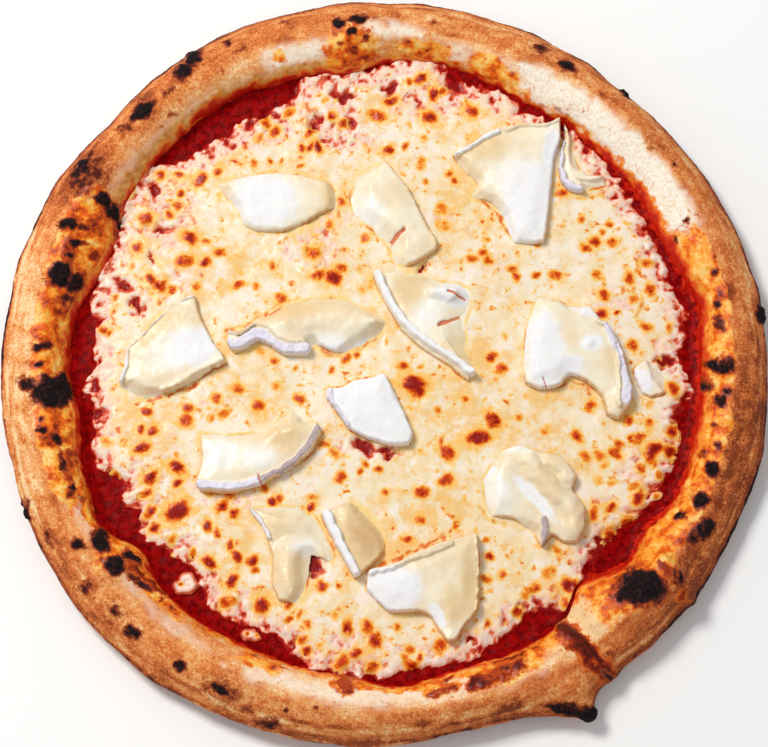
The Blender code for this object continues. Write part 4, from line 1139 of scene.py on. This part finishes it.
def burnt_edges(shell, skin, streak):
    """Mask of the char along the rim, strongest at the upper left and the lower right, and of a darkening
    low on the outer wall under it.
    """
    angle, z, reach, outer = shell.angle, shell.z, shell.reach, shell.outer
    upper_left = smooth(angle, 112, 120) * smooth(angle, 162, 152)
    share = 0.6 + 0.4 * np.maximum(upper_left, smooth(from_side(angle), -50, -35))
    rim = smooth(reach, outer - 2.2, outer - 0.7) * share * (0.75 + 0.7 * streak) * (z > 4)
    # Darker low on the outer wall, towards the base.
    under = smooth(z, 8.0, 3.0) * smooth(reach, 140, 150)
    return np.maximum(rim, under * (0.75 + 0.7 * fractal(skin, 8.0, 30)))


def crust():
    shell = crust_shell()
    drawn_out = np.stack([shell.reach, np.radians(shell.angle) * 26.0, shell.z], axis=1)
    streak = lattice_noise(drawn_out, 3.2, 13) + 0.6 * lattice_noise(drawn_out, 1.5, 14)
    marks = crust_marks(shell)
    skin = crust_skin(shell, marks, streak)
    scorch = np.maximum(marks["scorch"], burnt_edges(shell, skin, streak))
    masks = {**marks, "scorch": scorch, "streak": streak, "tone": crust_tone(shell, skin, streak)}

    faces = ring_faces(CRUST_RINGS, CRUST_STEPS)[:, ::-1].tolist()
    faces.append(list(range(CRUST_STEPS)))
    faces.append(list(range((CRUST_RINGS - 1) * CRUST_STEPS, CRUST_RINGS * CRUST_STEPS))[::-1])
    add_piece("crust_skin", skin, faces, masks, crust_material(), "baked_crust", "pizza_crust")


# ---------------------------------------------------------------- sauce and mozzarella
def sauce_climb(x, y, radius, angle):
    """Rise of the sauce and the cheese at the inner wall of the crust, least at the upper right."""
    foot = foot_radius(angle)
    share = 1 - 0.6 * smooth(angle, 38, 50) * smooth(angle, 104, 92)
    return share * (2.6 + 2.0 * lattice_noise(flat(x, y), 9.0, 64)) * smooth(radius, foot - 2.5, foot + 2.2)


def sauce():
    x, y, radius, angle, quads = polar_disc(SAUCE_CELLS, lambda a: foot_radius(a) + 2.4)
    z = SAUCE_TOP + 0.45 * fractal(flat(x, y), 4.0, 60) + sauce_climb(x, y, radius, angle)
    foot, side = foot_radius(angle), from_side(angle)
    # Painted light, partly: brighter where the sauce climbs the crust on the right, the slope that faces the
    # light.
    bright = smooth(radius, foot - 3.5, foot + 1.0) * smooth(side, -62, -42) * smooth(side, 62, 45)
    bottom = np.full(len(x), BASE_THICKNESS + 0.3)
    points = np.stack([x, y, z], axis=1)
    points, masks, faces, _ = close_below(points, {"bright": bright}, quads, bottom)
    add_piece("sauce_layer", points, faces, masks, sauce_material(), "tomato_sauce", "tomato_sauce")


def spot_mask(x, y):
    """Depth of browning: the placed spots and a scatter of small flecks between them."""
    rng = np.random.default_rng(7)
    rows = [(*spot, rng.uniform(0.78, 1.3), rng.uniform(0, 180)) for spot in SPOTS]
    for _ in range(CHEESE_FLECKS):
        reach, turn = FLECK_REACH * math.sqrt(rng.random()), math.tau * rng.random()
        size = (rng.uniform(1.0, 3.2), rng.uniform(0.12, 0.42), rng.uniform(1.0, 1.8), rng.uniform(0, 180))
        rows.append((reach * math.cos(turn), reach * math.sin(turn), *size))
    spot = np.zeros(len(x))
    for cx, cy, breadth, depth, aspect, turn in rows:
        near = np.abs(x - cx) + np.abs(y - cy) < 12.0
        radius = 0.56 * breadth
        q = ellipse_square(x[near], y[near], cx, cy, radius * aspect, radius / aspect, turn)
        shade = np.maximum(depth * np.exp(-(q**1.1)), 0.3 * depth * np.exp(-q / 4.0))
        spot[near] = np.maximum(spot[near], shade)
    return spot


def crack_mask(x, y):
    stain = np.zeros(len(x))
    for half, strength, line in CRACKS:
        stain = np.maximum(stain, strength * smooth(line_distance(x, y, line), half * 1.9, half * 0.3))
    return stain


def slice_distance(x, y, edges):
    """Distance from each point to the nearest goat cheese outline."""
    tree = kdtree.KDTree(sum(len(edge) for edge in edges))
    for index, (px, py) in enumerate(np.concatenate(edges)):
        tree.insert((px, py, 0.0), index)
    tree.balance()
    return np.array([tree.find((px, py, 0.0))[2] for px, py in zip(x, y)])


def mozzarella(material, edges):
    """The melted layer: ragged at its edge, torn at the gaps and thin where it blushes."""
    x, y, radius, angle, quads = polar_disc(
        MOZZARELLA_CELLS, lambda a: np.minimum(round_list(MOZZARELLA_EDGE, a) + 5.0, foot_radius(a) + 0.6)
    )
    ground = flat(x, y)
    middling = fractal(ground, 3.0, 74, 1)
    edge = sum(round_list(MOZZARELLA_EDGE, angle + turn) for turn in (-1.8, 0.0, 1.8)) / 3
    inward = edge + 3.4 - radius + 3.0 * fractal(ground, 8.0, 70, 2) + 1.0 * middling
    sway_x, sway_y = (1.3 * fractal(ground, 4.0, seed, 2) for seed in (78, 80))
    warp_x, warp_y = x + sway_x, y + sway_y
    warped = flat(warp_x, warp_y)
    gap = ellipses(x + 2.2 * sway_x, y + 2.2 * sway_y, scaled_ellipses(GAPS, 1.25, 1.0))
    blush = ellipses(warp_x, warp_y, BLUSHES)

    curd = 0.65 * fractal(warped, 5.6, 66) + 0.35 * fractal(ground, 2.4, 69, 2)
    loose = np.maximum(smooth(inward, 15.0, 1.0), 0.8 * blush)
    veil = loose * (0.36 - 1.4 * curd)
    full = mozzarella_top(x, y) - SAUCE_TOP
    thickness = full * (1.0 - np.exp(-np.maximum(inward, 0.0) / 2.6)) + np.minimum(inward, 0.0) * 0.6
    thickness *= 1 - 0.8 * smooth(gap, 0.1, 0.8)
    thickness = thickness * (1 - 0.4 * smooth(veil, 0.1, 0.8)) + 0.35 * loose * np.clip(curd, -1.0, 1.0)
    bare = np.maximum(smooth(veil, 0.75, 1.1), smooth(gap, 0.45, 0.95))
    red = np.maximum(smooth(thickness, 0.45, 0.05), bare)
    stain = crack_mask(warp_x, warp_y)
    thickness -= 0.15 * stain

    spot = spot_mask(x + 0.6 * sway_x, y + 0.6 * sway_y)
    z = SAUCE_TOP + thickness + sauce_climb(x, y, radius, angle) + 0.25 * smooth(spot, 0.3, 0.8)
    z += smooth(thickness, 0.2, 1.5) * (0.3 * fractal(ground, 8.0, 82) + 0.08 * middling)

    thread = smooth(np.abs(lattice_noise(warped, 5.5, 96)), 0.1, 0.02) * loose
    thin = np.maximum(smooth(thickness, 1.3, 0.2), veil)
    seam = smooth(cell_borders(warp_x, warp_y, 12.0, 6), 0.8, 0.1)
    seam *= smooth(lattice_noise(ground, 12.0, 92), -0.1, 0.5)
    away = slice_distance(x, y, edges)
    oily_edge = smooth(away, 1.2, 0.3) * (0.38 + 0.8 * lattice_noise(ground, 9.0, 90))
    oily_halo = 0.42 * smooth(away, 5.0, 1.0) * smooth(lattice_noise(ground, 13.0, 94), 0.0, 0.6)
    masks = {
        "spot": spot,
        "blush": np.maximum(blush, 0.75 * seam) + 0.45 * smooth(inward, 24.0, 4.0),
        "curd": loose * smooth(veil, 0.3, -0.2),
        "thin": np.maximum(thin, np.maximum(0.5 * thread, 0.7 * smooth(gap, 0.1, 0.6))),
        "oil": np.maximum(np.maximum(oily_edge, (0.8 + 0.5 * middling) * stain), oily_halo),
        "red": red,
    }
    bottom = np.full(len(x), SAUCE_TOP - 1.2)
    points, masks, faces, _ = close_below(np.stack([x, y, z], axis=1), masks, quads, bottom)
    add_piece("mozzarella_layer", points, faces, masks, material, "mozzarella", "melted_mozzarella")


def crumb(name, thickness, corners, material):
    """A bit of mozzarella that lies apart on the sauce."""
    edge = ragged(closed_curve(corners, CRUMB_CORNERS), 1.5, 4.0, (131, 132))
    x, y, depth, quads = patch_grid(edge, SLICE_STEP)
    rise = np.sqrt(1.0 - (1.0 - np.clip(depth / 2.8, 0.0, 1.0)) ** 2)
    top = SAUCE_TOP + rise * (thickness + 1.1 * fractal(flat(x, y), 3.2, 130, 2))
    zero = np.zeros(len(x))
    masks = {
        "spot": ellipses(x, y, CRUMB_SPOTS),
        "blush": zero + 0.3,
        "curd": 0.8 * smooth(depth, 0.5, 1.5),
        "thin": 0.2 + 0.45 * smooth(depth, 2.8, 0.1),
        "oil": zero,
        "red": smooth(depth, 0.4, 0.0),
    }
    points = np.stack([x, y, top], axis=1)
    points, masks, faces, _ = close_below(points, masks, quads, zero + SAUCE_TOP - 0.6)
    add_piece(look_name(name), points, faces, masks, material, "mozzarella", name)


# ---------------------------------------------------------------- goat cheese
def look_name(node):
    return node.replace("_", "-") + "-look"


def way_out(x, y, edge):
    """Direction from each point to the near side of an outline, evened out over a few millimetres."""
    along = np.roll(edge, -1, axis=0) - np.roll(edge, 1, axis=0)
    square = (x[:, None] - edge[None, :, 0]) ** 2 + (y[:, None] - edge[None, :, 1]) ** 2
    weight = np.exp(-(square - square.min(axis=1)[:, None]) / 12.0)
    return np.arctan2(weight @ -along[:, 0], weight @ along[:, 1])


def slice_top(shape, x, y, warp_x, warp_y):
    """Height of a slice's top with its domes, folds and bands, and a mask of the bands for each finish."""
    thickness = shape.thickness
    height = np.full(len(x), shape.body * thickness)
    for *dome, share in shape.domes:
        swell = np.clip(1.0 - ellipse_square(x, y, *dome), 0.0, 1.0) ** 0.7
        height = highest(height, share * thickness * swell, 1.0)
    for width, share, line in shape.folds:
        away = line_distance(warp_x, warp_y, line) / width
        height = highest(height, share * thickness * np.clip(1.0 - away**2, 0.0, 1.0) ** 0.6, 1.2)
    on_band = {finish: np.zeros(len(x)) for finish in FINISHES}
    for width, share, finish, line in shape.strips:
        on_strip = smooth(line_distance(warp_x, warp_y, line), width * 0.68, width * 0.36)
        height = highest(height, share * thickness * on_strip, 0.3)
        for covered in FINISHES[: FINISHES.index(finish) + 1]:
            on_band[covered] = np.maximum(on_band[covered], on_strip)
    return height, on_band


def slice_sides(shape, ground, depth, out, band):
    """How far each point of a slice has risen from its edge, and how far the edge there has melted."""
    melt = np.zeros(len(depth))
    for way, far in shape.soft:
        melt += far * np.clip(np.cos(out - math.radians(way)), 0.0, 1.0) ** 2
    melt = (melt + 0.6 + 0.6 * lattice_noise(ground, 9.0, 118)) * (1 - band)
    crisp = smooth(melt, 2.2, 0.6)
    rounded = np.sqrt(1.0 - (1.0 - np.clip(depth / (0.8 + 0.7 * melt), 0.0, 1.0)) ** 2)
    return crisp * (0.4 + 0.6 * rounded) + (1 - crisp) * smooth(depth, -0.2, 1.0 + 1.4 * melt), melt


def goat_slice(name, shape, edge, material):
    """A piece of goat cheese inside its edge, with its rind, its melted sides and its slits."""
    shape = SimpleNamespace(**{**PLAIN_SLICE, **shape})
    x, y, depth, quads = patch_grid(edge, SLICE_STEP)
    ground = flat(x, y)
    sway_x, sway_y = swayed(ground, 4.0, (100, 101))
    warp_x, warp_y = x + 0.8 * sway_x, y + 0.8 * sway_y
    height, on_band = slice_top(shape, x, y, warp_x, warp_y)
    band = on_band["cream"]
    rise, melt = slice_sides(shape, ground, depth, way_out(x, y, edge), band)
    slit, sunk = np.zeros(len(x)), np.zeros(len(x))
    for half, deep, line in shape.cuts:
        share = smooth(line_distance(warp_x, warp_y, line), half, half * 0.3)
        slit, sunk = np.maximum(slit, share), np.maximum(sunk, deep * share)

    height *= 1.0 - (1 - band) * (0.22 + 0.12 * lattice_noise(ground, 14.0, 119)) * smooth(depth, 8.0, 0.5)
    waves = 0.36 * fractal(ground, 10.0, 104, 2) + 0.05 * fractal(ground, 2.2, 108, 2)
    wrinkle = band * (0.2 + 0.4 * on_band["lilac_shade"]) * fractal(ground, 3.0, 112, 2)
    under = mozzarella_top(x, y)
    top = under - 0.2 + rise * (height + 0.3 + waves + wrinkle - sunk)
    white = ellipses(warp_x, warp_y, scaled_ellipses(shape.white, 1.2, 1.1), 2.6)
    white = np.maximum(white, on_band["white"])
    masks = {
        "white": white,
        "lilac_shade": on_band["lilac_shade"],
        "grey_shade": on_band["grey_shade"],
        "pale": ellipses(warp_x, warp_y, scaled_ellipses(shape.pale, 1.0, 1.0)),
        "tan": ellipses(warp_x, warp_y, scaled_ellipses(shape.tan, 1.2, shape.dusk)),
        "rim": smooth(depth, 1.1, 0.4) * smooth(melt, 2.0, 0.8) * (1 - white),
        "foot": np.zeros(len(x)),
        "oil": slit,
    }
    points, masks, faces, low = close_below(np.stack([x, y, top], axis=1), masks, quads, under - 0.6)
    masks["foot"][-low:] = 1.0
    add_piece(look_name(name), points, faces, masks, material, "goat_cheese", name)


# ---------------------------------------------------------------- stage
def add_object(name, data):
    made = bpy.data.objects.new(name, data)
    bpy.context.scene.collection.objects.link(made)
    return made


def lay_floor():
    side = FLOOR_REACH * MM
    mesh = bpy.data.meshes.new("floor")
    corners = [(-side, -side, 0), (side, -side, 0), (side, side, 0), (-side, side, 0)]
    mesh.from_pydata(corners, [], [(0, 1, 2, 3)])
    mesh.materials.append(floor_material())
    floor = add_object("floor", mesh)
    floor.location.z = -FLOOR_DROP * MM


def sky():
    world = bpy.data.worlds.new("studio")
    world.use_nodes = True
    background = world.node_tree.nodes["Background"]
    background.inputs["Color"].default_value = (1.0, 1.0, 1.0, 1.0)
    background.inputs["Strength"].default_value = SKY_STRENGTH
    bpy.context.scene.world = world


def key_light():
    """A disk of light that faces the frame's origin."""
    light = bpy.data.lights.new("key", "AREA")
    light.shape = "DISK"
    light.size = KEY_SIZE * MM
    light.energy = KEY_POWER
    light.color = KEY_TINT
    lamp = add_object("key", light)
    x, y, z = KEY_PLACE
    lamp.location = (x * MM, y * MM, z * MM)
    lamp.rotation_euler = (math.atan2(math.hypot(x, y), z), 0.0, math.atan2(y, x) + math.pi / 2)


def camera():
    scene = bpy.context.scene
    rise = math.radians(CAMERA_RISE)
    away = (0.0, -CAMERA_DISTANCE * math.cos(rise), CAMERA_DISTANCE * math.sin(rise))
    lens = bpy.data.cameras.new("camera")
    lens.sensor_width = CAMERA_SENSOR
    lens.lens = CAMERA_LENS
    eye = add_object("camera", lens)
    eye.location = [(aim - shift + back) * MM for aim, shift, back in zip(CAMERA_TARGET, MIDDLE, away)]
    eye.rotation_euler = (math.pi / 2 - rise, 0.0, 0.0)
    scene.camera = eye
    scene.view_settings.view_transform = "Standard"
    scene.view_settings.look = "None"
    scene.view_settings.exposure = 0.0


# ---------------------------------------------------------------- build
lay_floor()
sky()
key_light()
camera()
crust()
sauce()
cheese_look = mozzarella_material()
goat_look = goat_cheese_material()
slice_edges = {
    node_name: ragged(closed_curve(slice_shape["outline"], SLICE_CORNERS, 0.55), 0.35, 2.6, (120, 121))
    for node_name, slice_shape in SLICES.items()
}
mozzarella(cheese_look, list(slice_edges.values()))
for node_name, (crumb_thickness, crumb_corners) in CRUMBS.items():
    crumb(node_name, crumb_thickness, crumb_corners, cheese_look)
for node_name, slice_shape in SLICES.items():
    goat_slice(node_name, slice_shape, slice_edges[node_name], goat_look)
